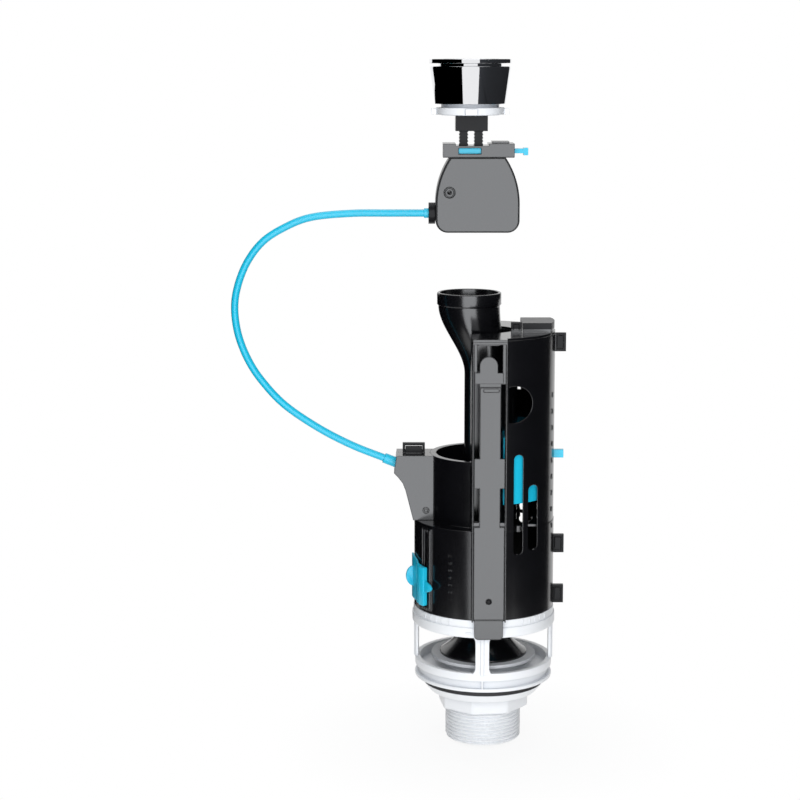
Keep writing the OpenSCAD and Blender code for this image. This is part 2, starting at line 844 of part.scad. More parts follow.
module seal_retainer() {
    color(black_plastic) ring(bore_r - 0.6, pipe_r + run, pipe_foot, z_base);
}

// Settings

module flush_adjuster() {
    r0 = pad_r + gap;
    r1 = r0 + adjuster_bar_t;
    top = adjuster_foot + adjuster_h;
    stem_w = slot_w - 2 * gap;
    plate_w = 12;
    plate_t = 1.8;
    plate_r = inner_r - 1;
    thumb_z = top - thumb_r;
    pointer_z = adjuster_foot + adjuster_h / 2;
    half_bar = adjuster_bar_w / 2;
    color(blue_plastic)
        rotate(adjuster_angle) {
            block([r0, -half_bar, adjuster_foot], [r1, half_bar, top]);
            block([plate_r - plate_t, -stem_w / 2, adjuster_foot + 3], [r0 + over, stem_w / 2, top - 3]);
            block([plate_r - plate_t, -plate_w / 2, adjuster_foot], [plate_r, plate_w / 2, top]);
            slab(-thumb_t / 2, thumb_t / 2) {
                translate([r1 - over, thumb_z - thumb_r]) square([thumb_reach + over - 1, 2 * thumb_r]);
                translate([r1 + thumb_reach - 1, thumb_z]) circle(r = thumb_r);
            }
            translate([r0 + 0.6, 0, 0]) rotate([90, 0, 90]) linear_extrude(1.8)
                polygon([[half_bar - 0.5, pointer_z - pointer_h / 2],
                    [half_bar + pointer_w - 2, pointer_z - 2], [half_bar + pointer_w, pointer_z],
                    [half_bar + pointer_w - 2, pointer_z + 2],
                    [half_bar - 0.5, pointer_z + pointer_h / 2]]);
        }
}

module half_flush_float() {
    color(blue_plastic) {
        translate([0, 0, float_foot])
            linear_extrude(float_h)
                intersection() {
                    tower_plan(body_wall + gap);
                    translate([float_edge, -body_r]) square([body_r, 2 * body_r]);
                }
        block([inner_r - 4, -tab_w / 2, tab_z - tab_h / 2],
            [body_r + tab_reach, tab_w / 2, tab_z + tab_h / 2]);
    }
}

// Lever bracket

// Side of the bracket in X and Z, drawn smaller by an inset; it runs on past the cup's wall
module bracket_shape(inset, right) {
    polygon([[right, anchor[1] + inset],
        [anchor[0] - 10.8 + inset, anchor[1] + inset], [anchor[0] - 15.6 + inset, anchor[1] + 19],
        [anchor[0] - 17.4 + inset, anchor[1] + 23.6], [anchor[0] - 20 + inset, anchor[1] + 27],
        [anchor[0] - 22.8 + inset, anchor[1] + 30 + inset / 2],
        [anchor[0] - 21.2 + inset, anchor[1] + bracket_top - inset],
        [right, anchor[1] + bracket_top - inset]]);
}

// One half of the bracket, towards +Y
module bracket_half() {
    difference() {
        union() {
            difference() {
                slab(0, half_bracket) bracket_shape(0, anchor[0] + 3.4);
                slab(-over, half_bracket - bracket_wall) bracket_shape(bracket_wall, anchor[0] + 6);
            }
            cross_rod(lever_pivot, hub_r, hub_half + gap, half_bracket - bracket_wall + 0.1);
        }
        cross_rod(lever_pivot, pin_r + run, -over, half_bracket - bracket_wall);
        cylinder(r = cup_r + fit, h = z_tower);
        slant_rod(cable_end, cable_slope, ferrule_r + fit, -over, ferrule_len + over);
    }
}

module bracket_rear() {
    clip_x = anchor[0] - clip_in;
    clip_z = anchor[1] + bracket_top;
    color(black_plastic) {
        bracket_half();
        slab(0, loop_t)
            difference() {
                translate([clip_x, clip_z - 0.5]) square([clip_w, clip_h + 0.5]);
                translate([clip_x + loop_bar, clip_z + loop_bar])
                    square([clip_w - 2 * loop_bar, clip_h - 2 * loop_bar]);
            }
    }
}

module bracket_front() {
    boss_at = anchor + [-2.8, 6.4];
    barb_x = anchor[0] - clip_in + loop_bar + fit;
    barb_w = clip_w - 2 * loop_bar - 2 * fit;
    barb_z = anchor[1] + bracket_top;
    color(black_plastic) {
        mirror([0, 1, 0]) bracket_half();
        difference() {
            cross_rod(boss_at, 1.9, -half_bracket - 0.7, -half_bracket + 0.2);
            cross_rod(boss_at, 1, -half_bracket - over, -half_bracket - 0.1);
        }
        block([barb_x, -loop_t, barb_z - 0.5], [barb_x + barb_w, 0, barb_z + 4.2]);
    }
}

module lift_lever() {
    color(black_plastic)
        difference() {
            union() {
                cross_rod(lever_pivot, hub_r, -hub_half, hub_half);
                slab(-lever_half_t, lever_half_t) link_shape(lever_pivot, lever_rest, lever_tip_r);
                slab(-lever_half_t, lever_half_t) link_shape(lever_pivot, pull_rest, nipple_hole_r + 1.2);
            }
            cross_rod(lever_pivot, pin_r + run, -hub_half - over, hub_half + over);
            cross_rod(pull_rest, nipple_hole_r, -lever_half_t - over, lever_half_t + over);
            slab(-wire_slit, wire_slit)
                translate(pull_rest) rotate(cable_slope) translate([-12, -8]) square([16, 12.5]);
        }
}

module lever_pin() {
    reach = half_bracket - bracket_wall;
    color(steel) cross_rod(lever_pivot, pin_r, -reach, reach);
}

module lower_pull_wire() {
    wire_at = cable_end + wire_rest_along * wire_dir;
    color(steel) {
        slant_rod(cable_end, cable_slope, wire_r, ferrule_len - 1, wire_rest_along);
        cross_rod(wire_at, nipple_r, -lever_half_t + 0.2, lever_half_t - 0.2);
    }
}

module lower_ferrule() {
    color(blue_plastic)
        difference() {
            slant_rod(cable_end, cable_slope, ferrule_r, 0, ferrule_len);
            slant_rod(cable_end, cable_slope, wire_bore_r, 0.8, ferrule_len + over);
        }
}

// Cable

module cable_sheath() {
    path = smooth_path(cable_route, cable_steps);
    color(blue_plastic)
        swept([for (i = [0 : len(path) - 1]) path_ring(path, i, cable_d / 2, cable_sides)]);
}

module upper_ferrule() {
    x1 = box_left - gland_len;
    color(blue_plastic)
        translate([x1 - collar_len, 0, cable_z]) rotate([0, 90, 0])
            difference() {
                cylinder(r = collar_ferrule_r, h = collar_len);
                translate([0, 0, 0.8]) cylinder(r = wire_bore_r, h = collar_len);
            }
}

module cable_gland() {
    color(black_plastic)
        translate([box_left - gland_len, 0, cable_z]) rotate([0, 90, 0])
            difference() {
                union() {
                    cylinder(r = gland_r, h = gland_len - fit);
                    cylinder(r = gland_spigot_r, h = gland_len + box_wall + 2.5);
                }
                translate([0, 0, -over]) cylinder(r = wire_bore_r, h = gland_len + 12);
            }
}

module upper_pull_wire() {
    x0 = box_left - gland_len - collar_len + 1;
    color(steel) {
        slant_rod([x0, cable_z], 0, wire_r, 0, wire_drop[0] - x0);
        cross_rod([wire_drop[0], cable_z], nipple_r, -crank_half_t + 0.2, crank_half_t - 0.2);
    }
}

// Actuator box

// One curved side of the box, which draws it in towards its neck
module box_side(side, inset) {
    translate([side * (half_w - side_arc_r), box_z + side_arc_z]) circle(r = side_arc_r - inset, $fn = 180);
    translate([-2 * half_w, box_z]) square([4 * half_w, side_arc_z]);
}

// Front of the box in X and Z, drawn smaller by an inset
module box_shape(inset) {
    r = corner_r - inset;
    wide = half_w - inset;
    low = box_z + inset;
    translate([box_x, 0])
        intersection() {
            union() {
                translate([-wide, box_z + corner_r]) square([2 * wide, box_h - corner_r - inset]);
                translate([-wide + r, low]) square([2 * (wide - r), box_h - 2 * inset]);
                for (side = [-1, 1])
                    translate([side * (wide - r), box_z + corner_r]) circle(r = r);
            }
            box_side(-1, inset);
            box_side(1, inset);
        }
}

module box_rear_shell() {
    bar_left = bar_x - bar_w / 2;
    step_x = [leg_x[0] - 5, leg_x[1] + 6];
    color(black_plastic)
        difference() {
            union() {
                difference() {
                    slab(cover_y, half_depth) box_shape(0);
                    slab(cover_y - over, half_depth - box_wall) box_shape(box_wall);
                }
                block([bar_left, -half_depth, z_bar - 0.4], [bar_left + bar_w, half_depth, z_bar_top]);
                cross_rod(rivet_at, rivet_post_r, cover_y, half_depth - box_wall + 0.1);
                cross_rod([crank_x, crank_z], crank_hub_r, crank_half_t + gap, half_depth - box_wall + 0.1);
                block([bar_left + bar_w - bar_pad_in - bar_pad_w, -half_depth + 4, z_bar_top - 0.5],
                    [bar_left + bar_w - bar_pad_in, half_depth - 4, z_bar_top + 1.2]);
            }
            cross_rod(rivet_at, rivet_shank_r + fit, cover_y - over, half_depth - box_wall - 2);
            cross_rod([crank_x, crank_z], pin_r + run, -over, half_depth - box_wall);
            block([step_x[0], -half_depth - over, z_bar_top - 1.4],
                [step_x[1], half_depth + over, z_bar_top + over]);
            for (x = leg_x)
                block([x - leg_w / 2 - fit, -leg_depth / 2 - fit, z_bar - box_wall - over],
                    [x + leg_w / 2 + fit, leg_depth / 2 + fit, z_bar_top + over]);
            block([latch_left - gap, latch_front - gap, latch_z - gap],
                [bar_left + bar_w + over, latch_back + gap, latch_z + latch_h + gap]);
            block([window_x[0], -half_depth - over, latch_z - gap / 2],
                [window_x[1], latch_front, latch_z + latch_h + gap / 2]);
            translate([box_left - over, 0, cable_z]) rotate([0, 90, 0])
                cylinder(r = gland_spigot_r + fit, h = box_wall + 2 * over);
            block([bar_left - over, -half_depth - over, z_bar - box_wall - over],
                [bar_left + bar_w + over, cover_y, z_bar]);
        }
}

module box_front_cover() {
    color(black_plastic)
        difference() {
            union() {
                slab(-half_depth, cover_y) box_shape(0.9);
                cross_rod([crank_x, crank_z], crank_hub_r, cover_y - 0.1, -crank_half_t - gap);
            }
            cross_rod(rivet_at, rivet_shank_r + fit, -half_depth - over, cover_y + over);
            cross_rod(rivet_at, rivet_head_r + fit, -half_depth - over, -half_depth + rivet_sink);
            cross_rod([crank_x, crank_z], pin_r + run, -half_depth + 1.4, over);
        }
}

module cover_rivet() {
    color(black_plastic)
        difference() {
            union() {
                cross_rod(rivet_at, rivet_head_r, -half_depth + rivet_sink - 0.8, -half_depth + rivet_sink);
                cross_rod(rivet_at, rivet_shank_r, -half_depth - 0.3, half_depth - box_wall - 3);
            }
            cross_rod(rivet_at, rivet_bore_r, -half_depth - 2, half_depth - box_wall - 5);
        }
}

module latch() {
    tail_x = bar_x + bar_w / 2;
    color(blue_plastic)
        difference() {
            union() {
                block([latch_left, latch_front, latch_z], [tail_x - 1, latch_back, latch_z + latch_h]);
                block([tail_x - 2, -3.5, latch_z], [tail_x + latch_tail, 3.5, latch_z + latch_h - 0.6]);
                block([tail_x + latch_tail - 2.8, -3.5, latch_z - 1.2],
                    [tail_x + latch_tail, 3.5, latch_z + latch_h - 0.2]);
            }
            for (x = leg_x)
                block([x - leg_w / 2 - gap - latch_travel, -leg_depth / 2 - gap, latch_z - over],
                    [x + leg_w / 2 + gap, leg_depth / 2 + gap, latch_z + latch_h + over]);
        }
}

module bell_crank() {
    tip = [leg_x[0], crank_tip_z];
    color(black_plastic)
        difference() {
            union() {
                cross_rod([crank_x, crank_z], crank_hub_r, -crank_half_t, crank_half_t);
                slab(-crank_half_t, crank_half_t) link_shape([crank_x, crank_z], tip, crank_arm_r);
                slab(-crank_half_t, crank_half_t)
                    link_shape([crank_x, crank_z], wire_drop, nipple_hole_r + 1.2);
            }
            cross_rod([crank_x, crank_z], pin_r + run, -crank_half_t - over, crank_half_t + over);
            cross_rod(wire_drop, nipple_hole_r, -crank_half_t - over, crank_half_t + over);
            slab(-wire_slit, wire_slit) translate(wire_drop + [-8, -3]) square([10, 9]);
        }
}

module crank_pin() {
    color(steel) cross_rod([crank_x, crank_z], pin_r, -half_depth + 1.4, half_depth - box_wall);
}

// Button

// Toothed hollow leg, centred on its own axis
module toothed_leg() {
    teeth = floor((z_stem - leg_foot - 1) / tooth_pitch);
    tooth_h = tooth_pitch * 0.6;
    difference() {
        block([-leg_w / 2, -leg_depth / 2, leg_foot], [leg_w / 2, leg_depth / 2, z_stem + over]);
        for (i = [0 : teeth - 1])
            for (side = [0, 1])
                mirror([side, 0, 0])
                    slab(-leg_depth, leg_depth)
                        translate([leg_w / 2, z_stem - 0.8 - i * tooth_pitch])
                            polygon([[over, 0], [-tooth_d, 0], [0, -tooth_h], [over, -tooth_h]]);
    }
}

module mounting_stem() {
    stem_x = button_x + 0.8;
    bore_foot = leg_foot - over;
    color(black_plastic)
        difference() {
            union() {
                block([stem_x - stem_half_w, -stem_half_d, z_stem],
                    [stem_x + stem_half_w, stem_half_d, z_carrier]);
                for (x = leg_x)
                    translate([x, 0, 0]) toothed_leg();
            }
            for (x = leg_x)
                translate([x, 0, bore_foot])
                    cylinder(r = leg_bore_r, h = z_carrier + over - bore_foot, $fn = 32);
        }
}

module push_rod(x, foot) {
    color(steel) translate([x, 0, foot]) cylinder(r = rod_r, h = z_button_under - foot, $fn = 32);
}

module full_push_rod() {
    push_rod(leg_x[0], full_rod_foot);
}

module half_push_rod() {
    push_rod(leg_x[1], half_rod_foot);
}

module lock_ring() {
    ring_r = neck_r + 3.2;
    top = z_lock + lock_ring_h;
    color(white_plastic)
        translate([button_x, 0, 0]) {
            ring(ring_r, neck_r + fit, z_lock, top);
            for (a = [0 : 90 : 270])
                rotate(a)
                    block([ring_r - 1.2, -lock_lug_w / 2, z_lock + 0.1],
                        [ring_r + lock_lug, lock_lug_w / 2, top - 0.6]);
        }
}

module button_carrier() {
    in_r = neck_r - neck_wall;
    floor_z = z_carrier + carrier_floor_t;
    top_z = z_carrier_flange + carrier_flange_t;
    color(white_plastic)
        difference() {
            translate([button_x, 0, 0]) rotate(seam_turn)
                rotate_extrude()
                    polygon([[0, z_carrier], [neck_r, z_carrier], [neck_r, z_carrier_flange],
                        [carrier_flange_r, z_carrier_flange], [carrier_flange_r, top_z], [in_r, top_z],
                        [in_r, floor_z], [0, floor_z]]);
            for (x = leg_x)
                translate([x, 0, z_carrier - over])
                    cylinder(r = leg_bore_r, h = carrier_floor_t + 2 * over, $fn = 32);
        }
}

module bezel_sleeve() {
    low_r = sleeve_low_d / 2;
    top_r = sleeve_top_d / 2;
    edge = 1.2;
    color(chrome)
        translate([button_x, 0, 0])
            rotate_extrude()
                polygon([[neck_r + fit, z_sleeve], [low_r - 0.6, z_sleeve], [low_r, z_sleeve + 0.6],
                    [top_r, z_sleeve_top - edge], [top_r - 0.3, z_sleeve_top - edge / 3],
                    [top_r - edge, z_sleeve_top],
                    [skirt_r + fit, z_sleeve_top], [skirt_r + fit, z_sleeve_top - sleeve_wall],
                    [top_r - sleeve_wall - 0.4, z_sleeve_top - sleeve_wall],
                    [low_r - sleeve_wall, z_carrier_flange], [neck_r + fit, z_carrier_flange]]);
}

module bezel_ring() {
    r = bezel_d / 2;
    skirt_foot = z_carrier_flange + carrier_flange_t;
    color(chrome)
        translate([button_x, 0, 0])
            rotate_extrude()
                polygon([[skirt_in_r, skirt_foot], [skirt_r, skirt_foot],
                    [skirt_r, z_bezel], [r - 0.6, z_bezel], [r, z_bezel + 0.6], [r, z_button - 1],
                    [r - 0.3, z_button - 0.3], [r - 1, z_button], [skirt_in_r, z_button]]);
}

// Plan of one button, on one side of the split
module button_plan(side) {
    reach = 2 * button_r;
    intersection() {
        circle(r = button_r);
        translate([split_x + side * (split_gap + reach) / 2 - reach / 2, -button_r]) square([reach, reach]);
    }
}

// Button with a crowned top
module half_disc(side) {
    crown_steps = 6;
    color(chrome)
        translate([button_x, 0, 0])
            intersection() {
                translate([0, 0, z_button_under])
                    linear_extrude(button_t + 2 * button_crown) button_plan(side);
                rotate(seam_turn)
                    rotate_extrude()
                        polygon(concat([[0, z_button_under - over], [button_r + over, z_button_under - over]],
                            [for (i = [crown_steps : -1 : 0]) let (u = i / crown_steps)
                                [u * (button_r + over), z_button + button_crown * (1 - u * u)]]));
            }
}

module full_flush_button() {
    half_disc(-1);
}

module half_flush_button() {
    half_disc(1);
}

// Return spring round a push rod
module return_spring(x) {
    turns = spring_turns * spring_steps;
    color(steel)
        translate([x, 0, 0])
            swept([for (i = [0 : turns])
                coil_ring(360 * i / spring_steps, spring_r, spring_wire_r,
                    spring_foot + (spring_head - spring_foot) * i / turns, spring_sides)]);
}

module full_spring() {
    return_spring(leg_x[0]);
}

module half_spring() {
    return_spring(leg_x[1]);
}

valve_base();
sealing_washer();
back_nut();
front_shell();
rear_shell();
tower_cap();
lock_slider();
slider_rivet();
slider_catch();
overflow_pipe();
lift_collar();
valve_cone();
flush_seal();
seal_retainer();
flush_adjuster();
half_flush_float();
bracket_rear();
bracket_front();
lift_lever();
lever_pin();
lower_pull_wire();
lower_ferrule();
cable_sheath();
upper_ferrule();
cable_gland();
upper_pull_wire();
box_rear_shell();
box_front_cover();
cover_rivet();
latch();
bell_crank();
crank_pin();
mounting_stem();
full_push_rod();
half_push_rod();
lock_ring();
button_carrier();
bezel_sleeve();
bezel_ring();
full_flush_button();
half_flush_button();
full_spring();
half_spring();
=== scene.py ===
# %% [markdown]
# # A cable-operated flush valve
# The valve stands in a toilet cistern. A push button in the lid works a small crank box, the crank pulls a
# cable, and the cable's lever lifts the overflow pipe, which carries the seal, off its seat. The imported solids
# give every body its place. This lesson dresses them: it makes the pieces that solids leave plain, mixes the
# finishes, and sets up a small studio. Millimetres are used in the text and in the helpers, metres in Blender.

# %% Load the frame
import json
import math

import bpy
import numpy as np
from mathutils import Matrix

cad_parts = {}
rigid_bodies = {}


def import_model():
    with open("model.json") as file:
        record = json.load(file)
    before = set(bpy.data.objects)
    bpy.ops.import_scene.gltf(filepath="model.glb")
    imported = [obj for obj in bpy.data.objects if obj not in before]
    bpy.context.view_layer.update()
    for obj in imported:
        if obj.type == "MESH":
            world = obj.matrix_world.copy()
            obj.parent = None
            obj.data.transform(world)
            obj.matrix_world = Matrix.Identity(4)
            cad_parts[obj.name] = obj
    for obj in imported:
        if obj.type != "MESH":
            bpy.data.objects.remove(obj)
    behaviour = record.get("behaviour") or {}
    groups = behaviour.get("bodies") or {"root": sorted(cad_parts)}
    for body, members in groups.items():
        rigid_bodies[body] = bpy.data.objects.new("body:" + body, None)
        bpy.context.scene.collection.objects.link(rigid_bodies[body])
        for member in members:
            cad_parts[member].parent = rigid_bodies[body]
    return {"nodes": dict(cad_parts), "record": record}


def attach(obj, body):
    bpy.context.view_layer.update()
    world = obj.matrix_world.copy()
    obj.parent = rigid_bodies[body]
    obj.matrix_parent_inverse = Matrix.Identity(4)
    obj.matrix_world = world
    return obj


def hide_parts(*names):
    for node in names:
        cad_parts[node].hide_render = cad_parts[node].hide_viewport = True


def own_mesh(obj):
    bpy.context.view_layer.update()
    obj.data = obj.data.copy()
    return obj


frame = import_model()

for left_over in [o for o in bpy.data.objects if o.name in ("Cube", "Light", "Camera")]:
    bpy.data.objects.remove(left_over)
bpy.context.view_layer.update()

# %% [markdown]
# ## The camera
# The button is seen edge-on and the base from above, so the camera stands at the button's height and looks
# slightly down. A long lens keeps the uprights nearly parallel, and the small shift frames the whole cable. A
# larger shift could replace the tilt, but it would come along into every other view.

# %% Camera
SENSOR_MM, LENS_MM, SHIFT_Y = 36, 90.98, -0.05
CAMERA_AT, LOOK_DOWN = (-0.05305, -1.25, 0.393), math.radians(8.52)
camera_data = bpy.data.cameras.new("camera")
camera_data.sensor_width = SENSOR_MM
camera_data.lens = LENS_MM
camera_data.shift_y = SHIFT_Y
camera = bpy.data.objects.new("camera", camera_data)
camera.location = CAMERA_AT
camera.rotation_euler = (math.pi / 2 - LOOK_DOWN, 0, 0)
bpy.context.scene.collection.objects.link(camera)
bpy.context.scene.camera = camera
print("camera at", tuple(round(x, 3) for x in camera.location), "lens", LENS_MM)

# %% [markdown]
# ## Surfaces from whole arrays
# Every new piece is a grid of points: one parameter runs along the rows and the other along the columns. One
# helper joins neighbouring points into quads, closes the ends where the grid is open, and turns the faces
# outwards by the sign of the enclosed volume. The points of a piece become metres when its mesh is made.

# %% Grid to mesh
MM = 0.001
SHARP = math.radians(38)


def grid_faces(rows, columns, wrap_rows):
    """Quads between neighbouring rows and columns, as corner numbers; the columns always close into a ring."""
    i = np.arange(rows if wrap_rows else rows - 1)[:, None]
    j = np.arange(columns)[None, :]
    below, above = i * columns, (i + 1) % rows * columns
    right = (j + 1) % columns
    return np.stack([below + j, below + right, above + right, above + j], -1).reshape(-1, 4)


def enclosed(points, quads):
    """Signed volume inside the quads: a sixth of the sum of the corner triple products of their triangles."""
    a, b, c, d = (points[quads[:, k]] for k in range(4))
    return (np.einsum("ij,ij->", a, np.cross(b, c)) + np.einsum("ij,ij->", a, np.cross(c, d))) / 6


def mesh_piece(name, points, faces, body, slot):
    """Object of one mesh in metres, smooth except at sharp edges, riding on a body."""
    mesh = bpy.data.meshes.new(name)
    mesh.from_pydata((np.asarray(points) * MM).tolist(), [], faces)
    mesh.update()
    mesh.shade_smooth()
    mesh.set_sharp_from_angle(angle=SHARP)
    piece = bpy.data.objects.new(name, mesh)
    bpy.context.scene.collection.objects.link(piece)
    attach(piece, body)
    print(f"{name}: {len(mesh.vertices)} points, {len(mesh.polygons)} faces")
    return piece


def grid_solid(grid, wrap_rows=True):
    """Points and outward faces of a (rows, columns, 3) grid whose columns close; open rows get end caps."""
    rows, columns = grid.shape[:2]
    points = grid.reshape(-1, 3)
    quads = grid_faces(rows, columns, wrap_rows)
    caps = [] if wrap_rows else [np.arange(columns)[::-1], (rows - 1) * columns + np.arange(columns)]
    volume = enclosed(points - points.mean(0), quads)
    faces = [list(map(int, f)) for f in quads] + [list(map(int, f)) for f in caps]
    return points, faces if volume > 0 else [f[::-1] for f in faces]


def joined(parts):
    """Several (points, faces) solids as one list of points and one of faces."""
    points, faces, start = [], [], 0
    for p, f in parts:
        points.append(p)
        faces += [[start + k for k in face] for face in f]
        start += len(p)
    return np.concatenate(points), faces


def rounded(corners, radius, steps=4):
    """Closed outline with its corners rounded: each corner gives way to a curve between two points that lie a
    radius away from it (or 45% of a shorter side), on the parabola that has the corner as its control point."""
    c = np.asarray(corners, float)
    before, after = np.roll(c, 1, 0) - c, np.roll(c, -1, 0) - c
    lb, la = np.linalg.norm(before, axis=1), np.linalg.norm(after, axis=1)
    p = c + before * (np.minimum(radius, 0.45 * lb) / lb)[:, None]
    q = c + after * (np.minimum(radius, 0.45 * la) / la)[:, None]
    t = np.linspace(0, 1, steps + 1)[None, :, None]
    curve = (1 - t) ** 2 * p[:, None] + 2 * t * (1 - t) * c[:, None] + t ** 2 * q[:, None]
    return curve.reshape(-1, 2)


def smooth_step(u):
    """Share from 0 to 1 that starts and ends level: u times u times the difference of 3 and 2u."""
    return u * u * (3 - 2 * u)


def circle(sides):
    """Angles once round, as one row."""
    return np.linspace(0, 2 * np.pi, sides, endpoint=False)[None, :]


def around(r, z, a, x=0.0):
    """Places at a radius, a height and an angle about an upright axis, which may stand off along X."""
    r, z, a, x = np.broadcast_arrays(r, z, a, x)
    return np.stack([x + r * np.cos(a), r * np.sin(a), z], -1)


def revolved(profile, sides=144, x=0.0):
    """Closed profile of radius and height carried round an upright axis."""
    r, z = profile.T[:, :, None]
    return grid_solid(around(r, z, circle(sides), x))


print("edges are sharp from", round(math.degrees(SHARP)), "degrees")

# %% [markdown]
# ## The cable
# A stiff sheath with a pull wire runs from the crank box to the lever bracket. It is held at both ends and
# stands in a wide bow by its own stiffness. A curve with a round bevel would look the same, but a mesh tube is
# ready for export. Its route is the solid's route, a smooth curve through the same points.

# %% Cable
CABLE_ROUTE = np.array([[-38.25, 297.6], [-60, 297.6], [-84, 297.4], [-108, 295], [-124, 289], [-138, 280],
                        [-148, 267], [-154, 252], [-156, 238], [-154, 222], [-148, 206], [-139, 192],
                        [-125, 177], [-104, 162.5], [-83, 151.5], [-63.05, 143.52]])
CABLE_D, CABLE_STEPS = 4.6, 8


def smooth_curve(points, steps):
    """Curve through the points: between two of them a cubic whose slope at each is half the way from its
    neighbour before to its neighbour after."""
    p = np.vstack([points[:1], points, points[-1:]])
    a, b, c, d = (p[k:len(p) - 3 + k][:, None] for k in range(4))
    t = np.linspace(0, 1, steps, endpoint=False)[None, :, None]
    curve = b + 0.5 * t * ((c - a) + t * ((2 * a - 5 * b + 4 * c - d) + t * (3 * (b - c) + d - a)))
    return np.vstack([curve.reshape(-1, points.shape[1]), points[-1:]])


def tube(path, radius, sides=36):
    """Round tube along a path in the X-Z plane: at each point a circle across the path's direction."""
    way = np.gradient(path, axis=0)
    way /= np.linalg.norm(way, axis=1)[:, None]
    a = circle(sides)
    x = path[:, :1] - radius * np.cos(a) * way[:, 1:]
    z = path[:, 1:] + radius * np.cos(a) * way[:, :1]
    y = radius * np.sin(a) + 0 * path[:, :1]
    return np.stack([x, y, z], -1)


cable_path = smooth_curve(CABLE_ROUTE, CABLE_STEPS)
cable = mesh_piece("cable", *grid_solid(tube(cable_path, CABLE_D / 2), wrap_rows=False), "valve", "blue_plastic")
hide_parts("cable_sheath")

# %% [markdown]
# ## Finishes as expressions
# A finish is a node tree, and sums of sockets are easier to read as Python. One small class wraps a socket, so
# that `1 - mask` adds the Math node it stands for, and one method makes any other node.

# %% A socket with operators
class Value:
    """A socket of a material's nodes, with the arithmetic that the finishes use."""

    def __init__(self, tree, socket=None):
        self.tree, self.socket = tree, socket

    def node(self, kind, settings=None, inputs=None, output=0):
        """Any node: its settings first, then the values or links of its sockets; gives one of its outputs."""
        made = self.tree.nodes.new(kind)
        for key, value in (settings or {}).items():
            setattr(made, key, value)
        for key, value in (inputs or {}).items():
            if isinstance(value, Value):
                self.tree.links.new(value.socket, made.inputs[key])
            else:
                made.inputs[key].default_value = value
        return Value(self.tree, made.outputs[output])

    def math(self, operation, a, b):
        """Math node on two values or numbers."""
        return self.node("ShaderNodeMath", {"operation": operation}, {0: a, 1: b})

    def __add__(self, other):
        return self.math("ADD", self, other)

    def __mul__(self, other):
        return self.math("MULTIPLY", self, other)

    def __sub__(self, other):
        return self.math("SUBTRACT", self, other)

    def __rsub__(self, other):
        return self.math("SUBTRACT", other, self)

    __radd__, __rmul__ = __add__, __mul__


# %% Parts of a finish
NODE_SAMPLES, BUMP_DEPTH = 6, 0.0002


def new_finish(name):
    """A material with its shader, and a Value at its Object coordinates."""
    material = bpy.data.materials.new(name)
    material.use_nodes = True
    tree = material.node_tree
    shader = tree.nodes["Principled BSDF"]
    place = Value(tree).node("ShaderNodeTexCoord", output="Object")
    return material, shader, place


def feed(shader, **links):
    """Set or link the shader's sockets; a name's underscores stand for spaces."""
    for name, value in links.items():
        socket = shader.inputs[name.replace("_", " ")]
        if isinstance(value, Value):
            value.tree.links.new(value.socket, socket)
        else:
            socket.default_value = value


def show(shader):
    """Make a shader, given as a Value, the surface of its material."""
    shader.tree.links.new(shader.socket, shader.tree.nodes["Material Output"].inputs["Surface"])


def noise(place, scale, detail=2.0, roughness=0.5):
    """Cloudy pattern from 0 to 1 with so many cells to the metre."""
    return place.node("ShaderNodeTexNoise", {}, {"Vector": place, "Scale": scale, "Detail": detail,
                                                 "Roughness": roughness}, "Fac")


def mixed(mask, low, high):
    """Colour between two colours, or Values that hold colours, by a mask."""
    low, high = (tone if isinstance(tone, Value) else (*tone, 1) for tone in (low, high))
    return mask.node("ShaderNodeMix", {"data_type": "RGBA"}, {0: mask, 6: low, 7: high}, 2)


def soft_edges(place, radius, height, strength):
    """Normal of edges rounded by a radius, with a height map pressed into it."""
    edge = place.node("ShaderNodeBevel", {"samples": NODE_SAMPLES}, {"Radius": radius})
    return place.node("ShaderNodeBump", {}, {"Strength": strength, "Distance": BUMP_DEPTH, "Height": height,
                                             "Normal": edge})


print("rounded edges and openness take", NODE_SAMPLES, "samples")

# %% [markdown]
# ### Moulded plastics
# The black mouldings are glossy on their large faces: nearly black, with a faint flow pattern and fine pores
# that only break up the gloss. Small clips, the slider's rivet and the stem come out of rougher tools and mirror
# less. A finish for each clip would need the solids cut up, so the black finish mixes two shaders by place:
# boxes in the model's own coordinates say where it is dull. Edges of a moulding are never knife sharp, so a
# small rounding goes into the normals.

# %% Black plastic
BLACK = ((0.0022, 0.0022, 0.0028), (0.0045, 0.0045, 0.0057))
GLOSSY = dict(gloss=0.13, pores=0.08, edge=0.0008, ior=1.665)
DULL = dict(gloss=0.22, pores=0.1, edge=0.0006, ior=1.24)
CLOUD_CELLS, PORE_CELLS = 55.0, 2600.0
FAR = 1000.0


def inside(place, low, high):
    """Mask that is 1 between two corners in millimetres: the product of one comparison for each limited side."""
    mask = None
    for axis, pair in enumerate(zip(low, high)):
        along = place.node("ShaderNodeSeparateXYZ", {}, {0: place}, axis)
        for limit, test in zip(pair, ("GREATER_THAN", "LESS_THAN")):
            if abs(limit) < FAR:
                step = place.math(test, along, limit * MM)
                mask = step if mask is None else mask * step
    return mask


def plastic_shader(place, tones, gloss, pores, edge, ior, shader=None):
    """Two close tones in clouds, roughness from a base and fine pores, and rounded edges, on a shader."""
    clouds, grain = noise(place, CLOUD_CELLS, 3.0), noise(place, PORE_CELLS, 2.0, 0.6)
    shader = shader or place.node("ShaderNodeBsdfPrincipled").socket.node
    feed(shader, Base_Color=mixed(clouds, *tones), Roughness=gloss + pores * grain + 0.05 * clouds,
         Normal=soft_edges(place, edge, grain, 0.05), IOR=ior)
    return Value(place.tree, shader.outputs[0])


